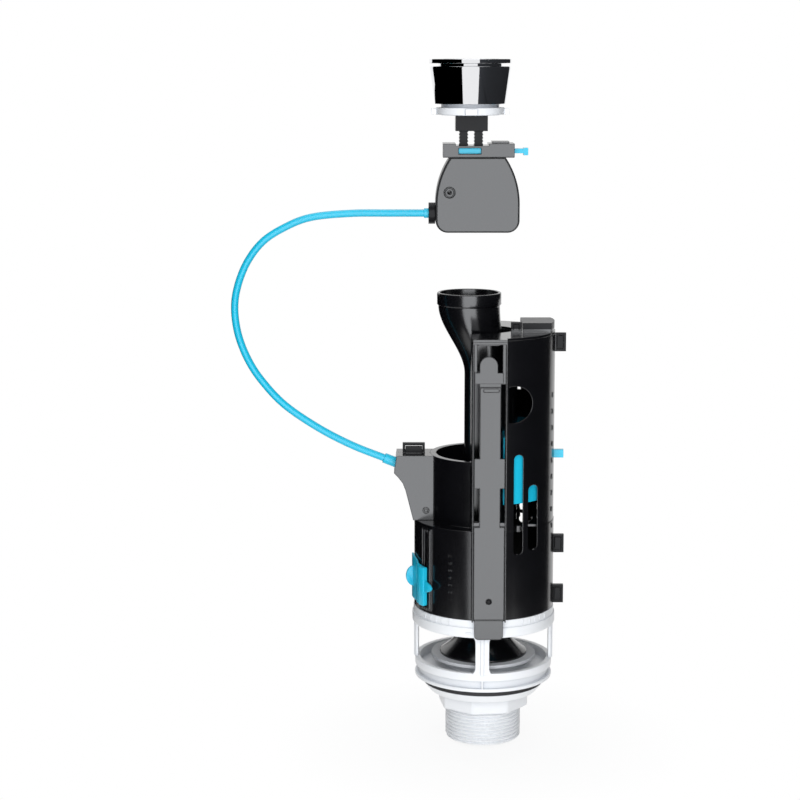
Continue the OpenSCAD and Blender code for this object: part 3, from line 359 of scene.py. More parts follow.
def black_moulding(name, dull_boxes):
    """Glossy black that is dull inside the given boxes."""
    material, shader, place = new_finish(name)
    glossy = plastic_shader(place, BLACK, shader=shader, **GLOSSY)
    dull = plastic_shader(place, BLACK, **DULL)
    mask = inside(place, *dull_boxes[0])
    for box in dull_boxes[1:]:
        mask = place.math("MAXIMUM", mask, inside(place, *box))
    show(place.node("ShaderNodeMixShader", {}, {0: mask, 1: glossy, 2: dull}))
    return material


SNAP_HOOPS = ((44.1, -FAR, -FAR), (FAR, FAR, FAR))
CAP_CLIPS = ((12, -FAR, 227.2), (FAR, FAR, 246))
BRACKET_CLIP = ((-FAR, -FAR, 147.2), (-36, FAR, 165))
BOX_BODY = ((-FAR, -FAR, -FAR), (FAR, FAR, 332.3))
ALL_OF_IT = ((-FAR, -FAR, 0), (FAR, FAR, FAR))
finishes = {"black_plastic": black_moulding("black_plastic", [SNAP_HOOPS, CAP_CLIPS, BRACKET_CLIP])}
special = {"box_rear_shell": black_moulding("black_box_body", [BOX_BODY])}
dull_black = black_moulding("black_dull", [ALL_OF_IT])
special.update({node: dull_black for node in ("mounting_stem", "slider_rivet", "cable_gland")})
print("black plastic, and a duller one for", ", ".join(special))

# %% [markdown]
# ### White and blue plastic
# The same plastic in other colours. White mouldings look white only where light reaches them: in grooves, roots
# of the thread and under rims the bounced light is weaker and cooler. Few light bounces are traced here, so a
# measure of how open each place is leads the colour to a cool grey. The cable's sheath has no edges to round.

# %% White and blue plastic
WHITE = ((0.83, 0.84, 0.855), (0.87, 0.88, 0.89))
SHADE, THREAD_SHADE = (0.52, 0.55, 0.60), (0.66, 0.69, 0.73)
BLUE = ((0.008, 0.44, 0.64), (0.015, 0.50, 0.70))
WHITE_SKIN = dict(gloss=0.22, pores=0.14, edge=0.0005, ior=1.45)
BLUE_SKIN = dict(gloss=0.2, pores=0.12, ior=1.45)
for name, reach, shade in (("white_plastic", 0.006, SHADE), ("white_thread", 0.0009, THREAD_SHADE)):
    material, shader, place = new_finish(name)
    plastic_shader(place, WHITE, shader=shader, **WHITE_SKIN)
    tone = Value(place.tree, shader.inputs["Base Color"].links[0].from_socket)
    openness = place.node("ShaderNodeAmbientOcclusion", {"samples": NODE_SAMPLES}, {"Distance": reach}, "AO")
    feed(shader, Base_Color=mixed(openness, shade, tone))
    finishes[name] = material
for name, edge in (("blue_plastic", 0.0003), ("blue_sheath", 0.0)):
    material, shader, place = new_finish(name)
    plastic_shader(place, BLUE, edge=edge, shader=shader, **BLUE_SKIN)
    finishes[name] = material
print("plastics:", ", ".join(finishes))

# %% [markdown]
# ### Rubber, steel and plated plastic
# The washer is dull black rubber, the seal soft grey silicone with a little bloom, the wires and pins drawn
# steel with lines along their length, and the button plated plastic: a bright mirror with the faint unevenness
# of a moulding under the plate. Each is one shader with noise at its own scale, because nothing here is printed
# or woven.

# %% Rubber and metal
RUBBER = ((0.012, 0.012, 0.013), (0.02, 0.02, 0.021))
SILICONE = ((0.66, 0.67, 0.69), (0.73, 0.74, 0.76))
STEEL = ((0.5, 0.51, 0.52), (0.62, 0.63, 0.64))
PLATING = ((0.80, 0.81, 0.83), (0.84, 0.85, 0.865))
BLOOM_CELLS, GRAIN_CELLS, STREAK_CELLS, WAVE_CELLS = 120.0, 3500.0, 900.0, 45.0
DRAWN, EVEN = (1, 1, 0.05), (1, 1, 1)


def rubbery(name, tones, gloss):
    """Dull rubber: bloom in large soft clouds, and a fine matt grain."""
    material, shader, place = new_finish(name)
    bloom = noise(place, BLOOM_CELLS, 4.0, 0.6)
    grain = noise(place, GRAIN_CELLS)
    feed(shader, Base_Color=mixed(bloom, *tones), Roughness=gloss + 0.12 * bloom + 0.1 * grain,
         Normal=soft_edges(place, 0.0004, grain, 0.35))
    return material


def metallic(name, tones, gloss, uneven, stretch, edge):
    """Metal: two close tones, roughness in streaks stretched along Z, a weak unevenness, and rounded edges."""
    material, shader, place = new_finish(name)
    lines = place.node("ShaderNodeMapping", {}, {"Vector": place, "Scale": stretch})
    streaks = noise(lines, STREAK_CELLS, 3.0)
    waves = noise(place, WAVE_CELLS, 1.0)
    feed(shader, Base_Color=mixed(streaks, *tones), Roughness=gloss + uneven * streaks, Metallic=1.0,
         Normal=soft_edges(place, edge, waves, 0.02))
    return material


finishes["rubber"] = rubbery("rubber", RUBBER, gloss=0.5)
finishes["seal_rubber"] = rubbery("seal_rubber", SILICONE, gloss=0.42)
finishes["steel"] = metallic("steel", STEEL, gloss=0.2, uneven=0.2, stretch=DRAWN, edge=0.0002)
finishes["chrome"] = metallic("chrome", PLATING, gloss=0.02, uneven=0.03, stretch=EVEN, edge=0.0001)
print("finishes:", ", ".join(finishes))

# %% Finishes on the solids
slot_of_node = {row["node"]: row["material_slot"] for row in frame["record"]["subparts"]}
for node, solid in frame["nodes"].items():
    for holder in solid.material_slots:
        holder.material = special.get(node, finishes[slot_of_node[node]])


def finish(piece, slot):
    """Give a new piece the finish of a slot."""
    piece.data.materials.append(finishes[slot])


finish(cable, "blue_sheath")
print("finishes put on", len(slot_of_node), "solids and the cable")

# %% [markdown]
# ## The outlet base
# The base is one white moulding: a ring with a groove between two rims, four pillars with a rib that stand
# between the water windows, and a bayonet collar with a step. A blank with windows cut out of it would have hard
# edges everywhere, so the rings are turned from rounded profiles and the pillars are set between them. Each pillar
# widens into the rings at both ends, as a moulding does.

# %% Base rings
BASE_R, BORE_R, TAIL_R = 43.3, 20.0, 23.9
Z_WASHER, Z_BASE, Z_COLLAR, Z_BODY = 4.0, 16.0, 39.0, 50.0
GROOVE, GROOVE_R = (6.2, 11.0), 41.1
SPIGOT_R, SPIGOT_FOOT = 23.2, 1.0
TROUGH_R, TROUGH_Z, SEAT_FOOT_R, SEAT_R = 40.0, 10.5, 24.5, 23.0
COLLAR_R, COLLAR_IN_R, COLLAR_TOP_R, Z_STEP = 45.1, 42.1, 44.3, 45.4
base_ring = rounded([(BORE_R, SPIGOT_FOOT), (SPIGOT_R, SPIGOT_FOOT), (SPIGOT_R, Z_WASHER), (BASE_R, Z_WASHER),
                     (BASE_R, GROOVE[0]), (GROOVE_R, GROOVE[0]), (GROOVE_R, GROOVE[1]), (BASE_R, GROOVE[1]),
                     (BASE_R, Z_BASE), (TROUGH_R, Z_BASE), (TROUGH_R, TROUGH_Z), (SEAT_FOOT_R, TROUGH_Z),
                     (SEAT_R, Z_BASE), (BORE_R, Z_BASE)], 0.4)
collar_ring = rounded([(COLLAR_IN_R, Z_COLLAR), (COLLAR_R - 0.5, Z_COLLAR), (COLLAR_R, Z_COLLAR + 0.8),
                       (COLLAR_R, Z_STEP), (COLLAR_TOP_R, Z_STEP), (COLLAR_TOP_R, Z_BODY),
                       (COLLAR_IN_R, Z_BODY)], 0.35)
print("profiles of", len(base_ring), "and", len(collar_ring), "points")

# %% Pillars and marks
FRONT, BASE_TURN, QUARTERS = -90, -3, (0, 90, 180, 270)
PILLAR_IN_R, PILLAR_R, RIB_R = 41.0, 43.2, 44.1
PILLAR_HALF, RIB_SHARE, FLARE, FLARE_FADE = 4.25, 0.25, 1.7, 1.1
TICKS, TICK_HALF, TICK_Z = (31, 38, 44, 50, 57), 0.35, (46.2, 49.4)
DASH_TURN, DASH_HALF, DASH_Z, MARK_PROUD = -104, 1.7, (41.8, 42.5), 0.3


def at_angle(out, side, up, angle):
    """Open solid whose places are given outwards, sideways and up, turned to an angle about the valve's axis."""
    out, side, up = np.broadcast_arrays(out, side, up)
    c, d = math.cos(angle), math.sin(angle)
    return grid_solid(np.stack([out * c - side * d, out * d + side * c, up], -1), wrap_rows=False)


def pillar(turn, rows=40):
    """Upright bar with a rib: a section in tangent and radius, as wide at each height as its width plus two
    flares that fade exponentially from the rings; turned to its angle about the axis."""
    z = np.linspace(Z_BASE - 1, Z_COLLAR + 1, rows)[:, None]
    flare = FLARE * (np.exp(-np.abs(z - Z_BASE) / FLARE_FADE) + np.exp(-np.abs(Z_COLLAR - z) / FLARE_FADE))
    section = rounded([(-1, PILLAR_IN_R), (1, PILLAR_IN_R), (1, PILLAR_R), (RIB_SHARE, PILLAR_R),
                       (RIB_SHARE, RIB_R), (-RIB_SHARE, RIB_R), (-RIB_SHARE, PILLAR_R), (-1, PILLAR_R)], 0.4, 3)
    side, out = section.T[:, None, :]
    width = PILLAR_HALF + flare * (np.abs(side) > 2 * RIB_SHARE)
    return at_angle(out, side * width, z, math.radians(turn))


def upright(turn, radii, half, heights):
    """Small rounded bar between two radii and two heights, half as wide as given each way, at an angle."""
    section = rounded([(-half, radii[0]), (half, radii[0]), (half, radii[1]), (-half, radii[1])], 0.2, 3)
    side, out = section.T[:, None, :]
    return at_angle(out, side, np.array(heights, float)[:, None], math.radians(turn))


pillars = [pillar(BASE_TURN + quarter) for quarter in QUARTERS]
groove_rib = upright(BASE_TURN + FRONT, (GROOVE_R - 0.5, BASE_R), 0.5, (GROOVE[0] - 0.2, GROOVE[1] + 0.2))
ticks = [upright(FRONT + side * tick, (COLLAR_TOP_R - 0.4, COLLAR_TOP_R + MARK_PROUD), TICK_HALF, TICK_Z)
         for tick in TICKS for side in (-1, 1)]
dash = upright(DASH_TURN, (COLLAR_R - 0.3, COLLAR_R + MARK_PROUD), DASH_HALF, DASH_Z)
base_parts = [revolved(base_ring), revolved(collar_ring), groove_rib, dash] + pillars + ticks
base = mesh_piece("base_moulding", *joined(base_parts), "valve", "white_plastic")
finish(base, "white_plastic")
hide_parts("valve_base")

# %% [markdown]
# ## The threaded tail
# Below the cistern the base ends in a coarse pipe thread, which takes the back nut. A bump in the material could
# hint at it, but its teeth show in the outline. So the thread is a real form: a radius that climbs one pitch a
# turn.

# %% Threaded tail
PITCH, THREAD_D, TAIL_FOOT, TAIL_TOP = 2.309, 1.35, -37.0, 3.0
CREST, RUN_OUT, FOOT_EASE = 0.14, 0.8, 0.6


def threaded_tail(sides=160, per_pitch=14):
    """Tube whose outside radius follows a rounded tooth: the height, less a pitch for each turn, gives the place
    on the tooth, which is a triangle wave with softened crest and root; the first thread runs out in a cone."""
    a = circle(sides)
    rows = int((TAIL_TOP - TAIL_FOOT) / PITCH * per_pitch)
    z = np.linspace(TAIL_FOOT, TAIL_TOP, rows)[:, None]
    wave = np.abs(2 * ((z / PITCH - a / (2 * np.pi)) % 1) - 1)
    tooth = smooth_step(np.clip((wave - CREST) / (1 - 2 * CREST), 0, 1))
    cone = TAIL_R - THREAD_D + 0.2 + (z - TAIL_FOOT) * RUN_OUT
    outer = around(np.minimum(TAIL_R - THREAD_D * tooth, cone), z, a)
    bore_r = np.array([BORE_R, BORE_R, BORE_R, BORE_R + FOOT_EASE])[:, None]
    bore_z = np.array([TAIL_TOP, -10, TAIL_FOOT + FOOT_EASE, TAIL_FOOT])[:, None]
    return grid_solid(np.concatenate([outer, around(bore_r, bore_z, a)]))


tail = mesh_piece("threaded_tail", *threaded_tail(), "valve", "white_plastic")
finish(tail, "white_thread")
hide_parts("valve_base")

# %% [markdown]
# ## The back nut
# An eight-sided nut under a tapered flange, turned by hand below the cistern. A bevelled prism joined to a disc
# would show a seam, so its outside is one radius for each angle and height: an octagon with its corners eased,
# that gives way to the round flange.

# %% Back nut
NUT_FLAT_R, NUT_FOOT, NUT_BORE_R, NUT_TURN = 26.9, -15.5, 24.1, math.radians(30)
FLANGE_R, FLANGE_Z, WASHER_R = 33.6, -5.5, 38.2


def back_nut(sides=288):
    """Ring with an eight-sided outside: the radius to a flat is the apothem over the cosine of the angle from the
    flat's middle, held under a corner radius; rows go up the outside, over the flange and down the bore."""
    a = circle(sides)
    from_middle = (a - NUT_TURN) % (math.pi / 4) - math.pi / 8
    octagon = np.minimum(NUT_FLAT_R / np.cos(from_middle), NUT_FLAT_R / math.cos(math.pi / 8) - 0.35)
    eight = [(0.9, NUT_FOOT), (0.35, NUT_FOOT + 0.15), (0.1, NUT_FOOT + 0.5), (0, NUT_FOOT + 1),
             (0, FLANGE_Z - 0.6), (-0.15, FLANGE_Z - 0.2)]
    round_ = [(FLANGE_R, FLANGE_Z), (FLANGE_R + 0.5, FLANGE_Z + 0.15), (FLANGE_R + 0.8, FLANGE_Z + 0.5),
              (WASHER_R - 0.4, -0.7), (WASHER_R - 0.1, -0.3), (WASHER_R - 0.2, -0.05), (WASHER_R - 0.6, 0),
              (NUT_BORE_R + 0.4, 0), (NUT_BORE_R, -0.4), (NUT_BORE_R, NUT_FOOT + 0.5),
              (NUT_BORE_R + 0.5, NUT_FOOT)]
    r = np.concatenate([octagon - cut for cut, _ in eight] + [np.full_like(a, x) for x, _ in round_])
    z = np.array([height for _, height in eight + round_])[:, None]
    return grid_solid(around(r, z, a))


nut = mesh_piece("back_nut_moulding", *back_nut(), "valve", "white_plastic")
finish(nut, "white_plastic")
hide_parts("back_nut")

# %% [markdown]
# ## The overflow pipe
# The pipe stands on the seal and widens into a funnel that leans to one side. A loft between two circles would
# kink at both, so height sets a share of widening on a smooth step, and the share sets both the radius and the
# lean. The mouth is a slightly thicker band.

# %% Overflow pipe
PIPE_R, PIPE_WALL, FUNNEL_R, LEAN, BAND = 12.7, 1.8, 20.0, 10.0, 0.8
PIPE_FOOT, NECK_FOOT, NECK_TOP, MOUTH = 12.0, 197.5, 240.5, 248.5
PIPE_ROWS = np.array([PIPE_FOOT, 60, 120])


def overflow_pipe(sides=144):
    """Funnel pipe: share of widening on a smooth step between the neck's foot and top; radius and lean follow it.
    The rows go up the outside, round the lip and down the inside."""
    neck = np.linspace(0, 1, 40)
    share = smooth_step(neck)
    neck_z = NECK_FOOT + (NECK_TOP - NECK_FOOT) * neck
    lip_z, lip_extra = np.array([
        (NECK_TOP + 0.15, -0.75), (NECK_TOP + 0.4, -0.2), (NECK_TOP + 0.8, 0), (MOUTH - 0.8, 0),
        (MOUTH - 0.3, -0.12), (MOUTH - 0.05, -0.45), (MOUTH, -0.8), (MOUTH, -1.3), (MOUTH - 0.2, -PIPE_WALL)]).T
    straight, down = 0 * PIPE_ROWS, slice(None, None, -1)
    z = np.concatenate([PIPE_ROWS, neck_z, lip_z, neck_z[down], PIPE_ROWS[down]])[:, None]
    w = np.concatenate([straight, share, np.ones(len(lip_z)), share[down], straight])[:, None]
    extra = np.concatenate([straight, -BAND * share, lip_extra, -PIPE_WALL - BAND * share[down],
                            straight - PIPE_WALL])[:, None]
    return grid_solid(around(PIPE_R + (FUNNEL_R - PIPE_R) * w + extra, z, circle(sides), -LEAN * w))


pipe = mesh_piece("overflow_funnel", *overflow_pipe(), "spindle", "black_plastic")
finish(pipe, "black_plastic")
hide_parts("overflow_pipe")

# %% [markdown]
# ## The flush adjuster
# A blue slide that sets the full flush: a bar on the drum's ribbed pad, a wing that follows the drum and carries
# a small round blade for the thumb, and an arrow that points at the numbers. One extruded outline couldn't follow
# the drum. So the flat pieces are outlines with eased edges, laid on the adjuster's own axes (out from the drum,
# along its skin, and up), and the wing is a section carried round the drum.

# %% Flat pieces of the adjuster
ADJUSTER_ANGLE = math.radians(215)
ADJUSTER_FOOT, ADJUSTER_TOP = 55.5, 79.9
BAR_HALF, RUNNER_HALF, PLATE_HALF = 2.5, 1.2, 6.0
BAR_OUT, PLATE_OUT, ARROW_OUT = (46.0, 49.0), (38.6, 40.6), (46.6, 48.4)
ARROW = ((2.0, 63.7), (7.5, 65.7), (9.5, 67.7), (7.5, 69.7), (2.0, 71.7))


def plate(outline, low, high, edge=0.4):
    """Flat piece between two depths: the outline at every depth, drawn in towards its middle near both faces."""
    flat = np.asarray(outline, float)
    middle = flat.mean(0)
    reach = np.abs(flat - middle).max()
    rows = [(low, edge), (low + 0.3 * edge, 0.3 * edge), (low + edge, 0), (high - edge, 0),
            (high - 0.3 * edge, 0.3 * edge), (high, edge)]
    return np.stack([np.column_stack([middle + (flat - middle) * (1 - inset / reach), np.full(len(flat), depth)])
                     for depth, inset in rows])


def facing_out(outline, depth):
    """Plate whose outline is drawn along the skin and up."""
    along, up, out = np.moveaxis(plate(outline, *depth), -1, 0)
    return at_angle(out, along, up, ADJUSTER_ANGLE)


def bar(half, foot, top):
    """Outline of an upright bar with rounded corners."""
    return rounded([(-half, foot), (half, foot), (half, top), (-half, top)], 0.6)


flat_pieces = [
    facing_out(bar(BAR_HALF, ADJUSTER_FOOT, ADJUSTER_TOP), BAR_OUT),
    facing_out(rounded(ARROW, 0.5), ARROW_OUT),
    facing_out(bar(RUNNER_HALF, ADJUSTER_FOOT + 3, ADJUSTER_TOP - 3), (PLATE_OUT[1] - 1, BAR_OUT[0] + 1)),
    facing_out(bar(PLATE_HALF, ADJUSTER_FOOT, ADJUSTER_TOP), PLATE_OUT)]
print("flat pieces:", len(flat_pieces))

# %% Wing and blade of the adjuster
WING_TURN, WING_R, WING_WALL, WING_TOP = (186, 213), 44.5, 1.2, 83.5
WING_CLIMB, CLIMB_FROM, CLIMB_OVER = 1.7, 199, 9
BLADE_ANGLE, BLADE_OUT, BLADE_UP, BLADE_Z, BLADE_HALF = math.radians(190), 5.1, 6.6, 69.5, 0.9


def wing(rows=24):
    """Curved plate round the drum: a thin upright section at each angle. Its radius climbs on a smooth step over
    the pad's edge, and its top falls in a straight line to the bar's top."""
    turn = np.linspace(*WING_TURN, rows)[:, None]
    climb = WING_CLIMB * smooth_step(np.clip((turn - CLIMB_FROM) / CLIMB_OVER, 0, 1))
    wall, rise = rounded([(0, 0), (1, 0), (1, 1), (0, 1)], 0.04).T[:, None, :]
    top = np.interp(turn, WING_TURN, (WING_TOP, ADJUSTER_TOP))
    z = ADJUSTER_FOOT + (top - ADJUSTER_FOOT) * rise
    return grid_solid(around(WING_R + climb + WING_WALL * wall, z, np.radians(turn)), wrap_rows=False)


round_edge = np.linspace(-np.pi / 2, np.pi / 2, 40)
blade_outline = np.column_stack([WING_R + 0.4 + BLADE_OUT * np.cos(round_edge),
                                 BLADE_Z + BLADE_UP * np.sin(round_edge)])
blade_out, blade_up, blade_along = np.moveaxis(plate(blade_outline, -BLADE_HALF, BLADE_HALF), -1, 0)
blade = at_angle(blade_out, blade_along, blade_up, BLADE_ANGLE)
adjuster = mesh_piece("adjuster_slide", *joined(flat_pieces + [wing(), blade]), "adjuster", "blue_plastic")
finish(adjuster, "blue_plastic")
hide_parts("flush_adjuster")

# %% [markdown]
# ## The plated bezel
# The button's rim and the tapered sleeve under it are plated, so each small edge mirrors something else. They are
# turned here with tight roundings, which a bevel in the normals alone wouldn't show in the outline: an upright
# rim, a thin shadow gap, and a cone that carries the long highlight.

# %% Bezel and sleeve
BUTTON_X, NECK_HOLE_R, SKIRT_HOLE_R = -10.0, 18.2, 19.9
SLEEVE, SLEEVE_FLOOR, SLEEVE_ROOF = ((21.8, 364.7), (24.8, 387.5)), 1.4, 1.6
RIM_R, RIM = 25.2, (389.3, 391.9)
SKIRT_IN, SKIRT_OUT, SKIRT_FOOT = 18.3, 19.6, 368.3
(low_r, low_z), (top_r, top_z) = SLEEVE
floor_z, roof_z = low_z + SLEEVE_FLOOR, top_z - SLEEVE_ROOF
sleeve_profile = rounded([(NECK_HOLE_R, low_z), (low_r, low_z), (top_r, top_z - 0.9), (top_r - 0.2, top_z),
                          (SKIRT_HOLE_R, top_z), (SKIRT_HOLE_R, roof_z), (top_r - 2, roof_z),
                          (low_r - 1.7, floor_z), (NECK_HOLE_R, floor_z)], 0.3, 5)
rim_profile = rounded([(SKIRT_IN, SKIRT_FOOT), (SKIRT_OUT, SKIRT_FOOT), (SKIRT_OUT, RIM[0]), (RIM_R, RIM[0]),
                       (RIM_R, RIM[1]), (SKIRT_IN, RIM[1])], 0.25, 5)
plated = [frame["nodes"][node] for node in ("full_flush_button", "half_flush_button")]
for name, profile, node in (("sleeve_cone", sleeve_profile, "bezel_sleeve"),
                            ("bezel_rim", rim_profile, "bezel_ring")):
    ring = mesh_piece(name, *revolved(profile, 180, BUTTON_X), "valve", "chrome")
    plated.append(ring)
    finish(ring, "chrome")
    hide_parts(node)

# %% [markdown]
# ## Return springs
# Under each half of the button a steel spring stands round the push rod. It is a wire bent to a helix. A Screw
# modifier could wind it, but a grid of two angles gives closed ends in one step. When its half is pressed the
# spring gets shorter by the button's travel.

# %% Return springs
SPRING_R, WIRE_R, SPRING_TURNS = 3.2, 0.45, 9
SPRING_FOOT, SPRING_HEAD = 360.9, 388.3


def helix(x, steps=28, sides=10):
    """Wire along a helix round an upright axis: at each angle a small circle in the plane of the axis."""
    a = np.linspace(0, 2 * np.pi * SPRING_TURNS, SPRING_TURNS * steps + 1)[:, None]
    b = circle(sides)
    rise = np.linspace(SPRING_FOOT + WIRE_R, SPRING_HEAD - WIRE_R, len(a))[:, None]
    return grid_solid(around(SPRING_R + WIRE_R * np.cos(b), rise + WIRE_R * np.sin(b), a, x), wrap_rows=False)


for name, node, x, joint, travel in (("full_coil", "full_spring", -14.0, "full_button_press", 7.0),
                                     ("half_coil", "half_spring", -4.8, "half_button_press", 4.0)):
    coil = mesh_piece(name, *helix(x), "valve", "steel")
    finish(coil, "steel")
    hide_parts(node)
    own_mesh(coil)

# %% [markdown]
# ## Raised numbers
# Plain numbers stand a little proud of the tower, where the float's pointer is set, and of the drum beside the
# adjuster. A painted number would be flat in the outline and in the shape. So each is set as type, made a
# mesh, and wrapped on the cylinder: across becomes angle, up stays height and depth becomes radius.

# %% Numbers
DIGIT_DEPTH, DIGIT_SINK = 0.6, 0.1
TOWER_R, DRUM_R, DRUM_TOP = 43.7, 44.0, 107.0
TOWER_TYPE, TOWER_TURN, TOWER_FIRST, TOWER_STEP, TOWER_COUNT = 4.6, -18.5, 185.9, -10.33, 9
DRUM_TYPE, DRUM_TURN, DRUM_FIRST, DRUM_STEP, DRUM_COUNT = 3.6, -120, 62, 4.6, 7


def wrapped_digit(character, size, radius, angle, height, turn):
    """One digit as points and faces on an upright cylinder: x over the radius is added to the angle."""
    type_ = bpy.data.curves.new("digit", "FONT")
    type_.body, type_.size, type_.extrude = character, size, DIGIT_DEPTH / 2
    type_.align_x, type_.align_y, type_.resolution_u = "CENTER", "CENTER", 2
    holder = bpy.data.objects.new("digit", type_)
    bpy.context.scene.collection.objects.link(holder)
    bpy.context.view_layer.update()
    mesh = bpy.data.meshes.new_from_object(holder.evaluated_get(bpy.context.evaluated_depsgraph_get()))
    flat = np.empty(3 * len(mesh.vertices))
    mesh.vertices.foreach_get("co", flat)
    x, y, z = flat.reshape(-1, 3).T
    c, d = math.cos(turn), math.sin(turn)
    a = math.radians(angle) + (c * x - d * y) / radius
    faces = [list(face.vertices) for face in mesh.polygons]
    bpy.data.objects.remove(holder)
    bpy.data.meshes.remove(mesh)
    return around(radius + DIGIT_DEPTH / 2 - DIGIT_SINK + z, height + d * x + c * y, a), faces


tower_heights = [TOWER_FIRST + TOWER_STEP * k for k in range(TOWER_COUNT)]
drum_heights = [DRUM_FIRST + DRUM_STEP * k for k in range(DRUM_COUNT)]
tower_scale = [wrapped_digit(str(k), TOWER_TYPE, TOWER_R if z > DRUM_TOP else DRUM_R, TOWER_TURN, z, 0)
               for k, z in enumerate(tower_heights, 1)]
drum_scale = [wrapped_digit(str(k), DRUM_TYPE, DRUM_R, DRUM_TURN, z, math.pi / 2)
              for k, z in enumerate(drum_heights, 1)]
numbers = mesh_piece("scale_numbers", *joined(tower_scale + drum_scale), "valve", "black_plastic")
finish(numbers, "black_plastic")

# %% [markdown]
# ## The studio
# The white ground comes from the world, for what the camera sees and what shiny things mirror. For everything
# else the world is a weaker, even light: more light on the object would burn out the white plastic.

# %% World
GROUND, EVEN_LIGHT = 1.0, 0.8
bpy.context.scene.view_settings.view_transform = "Standard"
world = bpy.data.worlds.new("studio")
bpy.context.scene.world = world
world.use_nodes = True


def seen_directly(value):
    """Mask of rays from the camera, a mirror or glass: the largest of Light Path's three answers."""
    eye, mirror, glass = (value.node("ShaderNodeLightPath", output=name) for name in
                          ("Is Camera Ray", "Is Glossy Ray", "Is Transmission Ray"))
    return value.math("MAXIMUM", value.math("MAXIMUM", eye, mirror), glass)


strength = EVEN_LIGHT + (GROUND - EVEN_LIGHT) * seen_directly(Value(world.node_tree))
feed(world.node_tree.nodes["Background"], Color=(1, 1, 1, 1), Strength=strength)
print("ground", GROUND, "even light", EVEN_LIGHT)

# %% [markdown]
# ### The floor
# A small floor under the tail takes the shadow. Seen directly it glows as white as the ground, apart from a weak
# share of its real shading near the foot. To the object it is a table that is partly lit and partly glows, so
# that the base isn't dark from below.

# %% Floor
FLOOR_Z, FLOOR_HALF, FLOOR_TONE = -0.0395, 0.26, (0.85, 0.85, 0.85, 1)
SHADOW_FROM, SHADOW_TO, SHADOW_SHARE, TABLE_SHARE = 0.03, 0.14, 0.12, 0.4


def stage_card(name, corners):
    """Flat card between four corners, in metres, that isn't part of the object."""
    mesh = bpy.data.meshes.new(name)
    mesh.from_pydata(corners, [], [(0, 1, 2, 3)])
    card = bpy.data.objects.new(name, mesh)
    bpy.context.scene.collection.objects.link(card)
    return card


floor = stage_card("floor", [(x * FLOOR_HALF, y * FLOOR_HALF, FLOOR_Z)
                             for x, y in ((-1, -1), (1, -1), (1, 1), (-1, 1))])
floor_finish, floor_shader, place = new_finish("floor")
feed(floor_shader, Base_Color=FLOOR_TONE, Roughness=0.9)
lit = Value(place.tree, floor_shader.outputs[0])
glow = place.node("ShaderNodeEmission", {}, {"Color": (1, 1, 1, 1), "Strength": 1.0})
from_foot = place.node("ShaderNodeVectorMath", {"operation": "LENGTH"}, {0: place}, "Value")
near_foot = place.node("ShaderNodeMapRange", {}, {0: from_foot, 1: SHADOW_FROM, 2: SHADOW_TO,
                                                  3: SHADOW_SHARE, 4: 0.0})
to_eye = place.node("ShaderNodeMixShader", {}, {0: near_foot, 1: glow, 2: lit})
to_object = place.node("ShaderNodeMixShader", {}, {0: TABLE_SHARE, 1: glow, 2: lit})
show(place.node("ShaderNodeMixShader", {}, {0: seen_directly(place), 1: to_object, 2: to_eye}))
floor.data.materials.append(floor_finish)
print("floor", 2 * FLOOR_HALF, "m wide at", FLOOR_Z)

# %% [markdown]
# ### Dark cards
# In a studio dark cards stand beside the set, so that everything round and glossy falls off to black at its
# sides. Painting that fall-off into a finish would slide in other views, so real cards stand here. The right one
# reaches further back at the top than at the bottom. The one at the left back is low, so that the plated button
# still mirrors the white ground above it.

# %% Cards
CARD_FOOT, CARD_SPLIT, BACK_CARD_TOP, CARD_TOP = -1.2, 0.05, 0.2, 1.5
LEFT_NEAR, LEFT_FAR, LEFT_BACK = (-0.69, -1.42), (-0.98, 1.05), (-0.45, 2.2)
RIGHT_NEAR, RIGHT_FAR_HIGH, RIGHT_FAR_LOW = (0.62, -1.42), (0.95, 1.5), (0.95, 0.86)


def card_finish(name, colour):
    """Plain dull card that mirrors nothing."""
    material, shader, _ = new_finish(name)
    feed(shader, Base_Color=(*colour, 1), Roughness=0.9, Specular_IOR_Level=0.0)
    return material


def side_card(name, start, end, foot, top, finish_of_card):
    """Upright card from one place on the ground plan to another, hidden from the camera itself."""
    card = stage_card(name, [(*start, foot), (*end, foot), (*end, top), (*start, top)])
    card.data.materials.append(finish_of_card)
    card.visible_camera = False


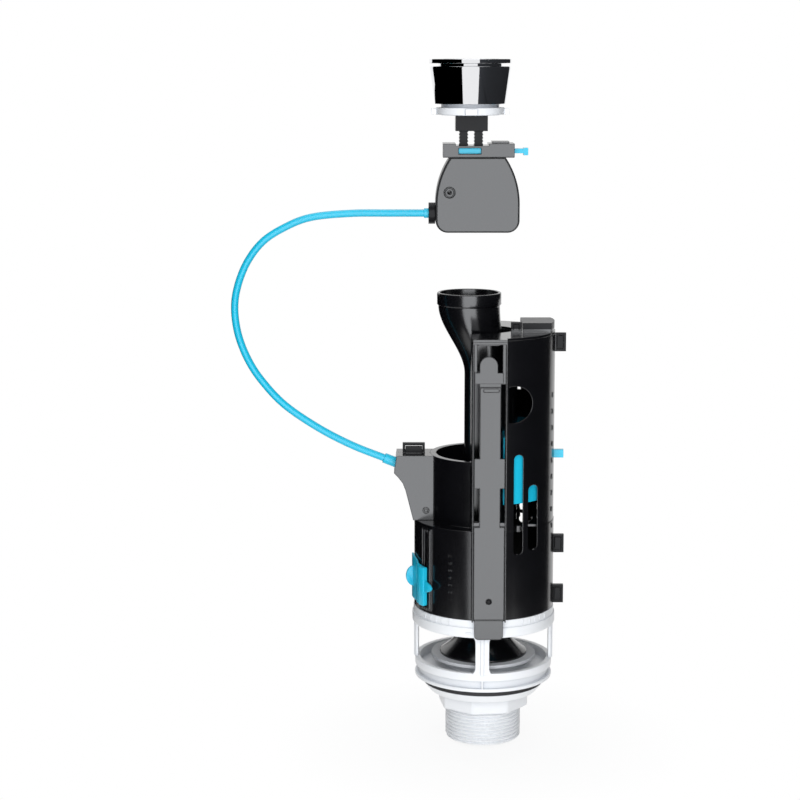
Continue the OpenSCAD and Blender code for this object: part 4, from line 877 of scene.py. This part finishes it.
black_card = card_finish("black_card", (0, 0, 0))
grey_card = card_finish("grey_card", (0.03, 0.031, 0.034))
side_card("left_card", LEFT_NEAR, LEFT_FAR, CARD_FOOT, CARD_TOP, black_card)
side_card("left_back_card", LEFT_FAR, LEFT_BACK, CARD_FOOT, BACK_CARD_TOP, black_card)
side_card("right_card_high", RIGHT_NEAR, RIGHT_FAR_HIGH, CARD_SPLIT, CARD_TOP, grey_card)
side_card("right_card_low", RIGHT_NEAR, RIGHT_FAR_LOW, CARD_FOOT, CARD_SPLIT, grey_card)
print("cards from", CARD_FOOT, "to", CARD_TOP)

# %% [markdown]
# ### Lamps
# A tall soft box behind the camera is the only strong lamp: flat black faces mirror it as grey. A weak one hangs
# overhead. On the plated pieces the tall box would add to the white ground that they mirror and burn out their
# bright band, so it is flagged off them, as with a flag in a studio. Light linking does that here.

# %% Lamps
LAMP_TINT = (0.93, 0.96, 1.0)
KEY_AT, KEY_AIM, KEY_SIZE, KEY_WATTS = (-0.03, -1.4, 0.2), (-0.03, 0, 0.2), (1.28, 2.4), 27.2
TOP_AT, TOP_AIM, TOP_SIZE, TOP_WATTS = (0.0, 0.1, 1.3), (0, 0, 0.2), (0.9, 0.6), 4


def soft_box(name, at, aim, size, watts):
    """Rectangular lamp at a place, facing a point; hidden from the camera itself."""
    lamp = bpy.data.lights.new(name, "AREA")
    lamp.shape = "RECTANGLE"
    lamp.size, lamp.size_y = size
    lamp.energy = watts
    lamp.color = LAMP_TINT
    holder = bpy.data.objects.new(name, lamp)
    holder.location = at
    x, y, z = np.array(aim) - np.array(at)
    holder.rotation_euler = (math.atan2(math.hypot(x, y), -z), 0, math.atan2(y, x) - math.pi / 2)
    holder.visible_camera = False
    bpy.context.scene.collection.objects.link(holder)
    return holder


key = soft_box("key_box", KEY_AT, KEY_AIM, KEY_SIZE, KEY_WATTS)
soft_box("top_box", TOP_AT, TOP_AIM, TOP_SIZE, TOP_WATTS)
flagged = bpy.data.collections.new("flagged")
for piece in plated:
    flagged.objects.link(piece)
for member in flagged.collection_objects:
    member.light_linking.link_state = "EXCLUDE"
key.light_linking.receiver_collection = flagged
print("studio ready, key lamp flagged off", len(plated), "plated pieces")
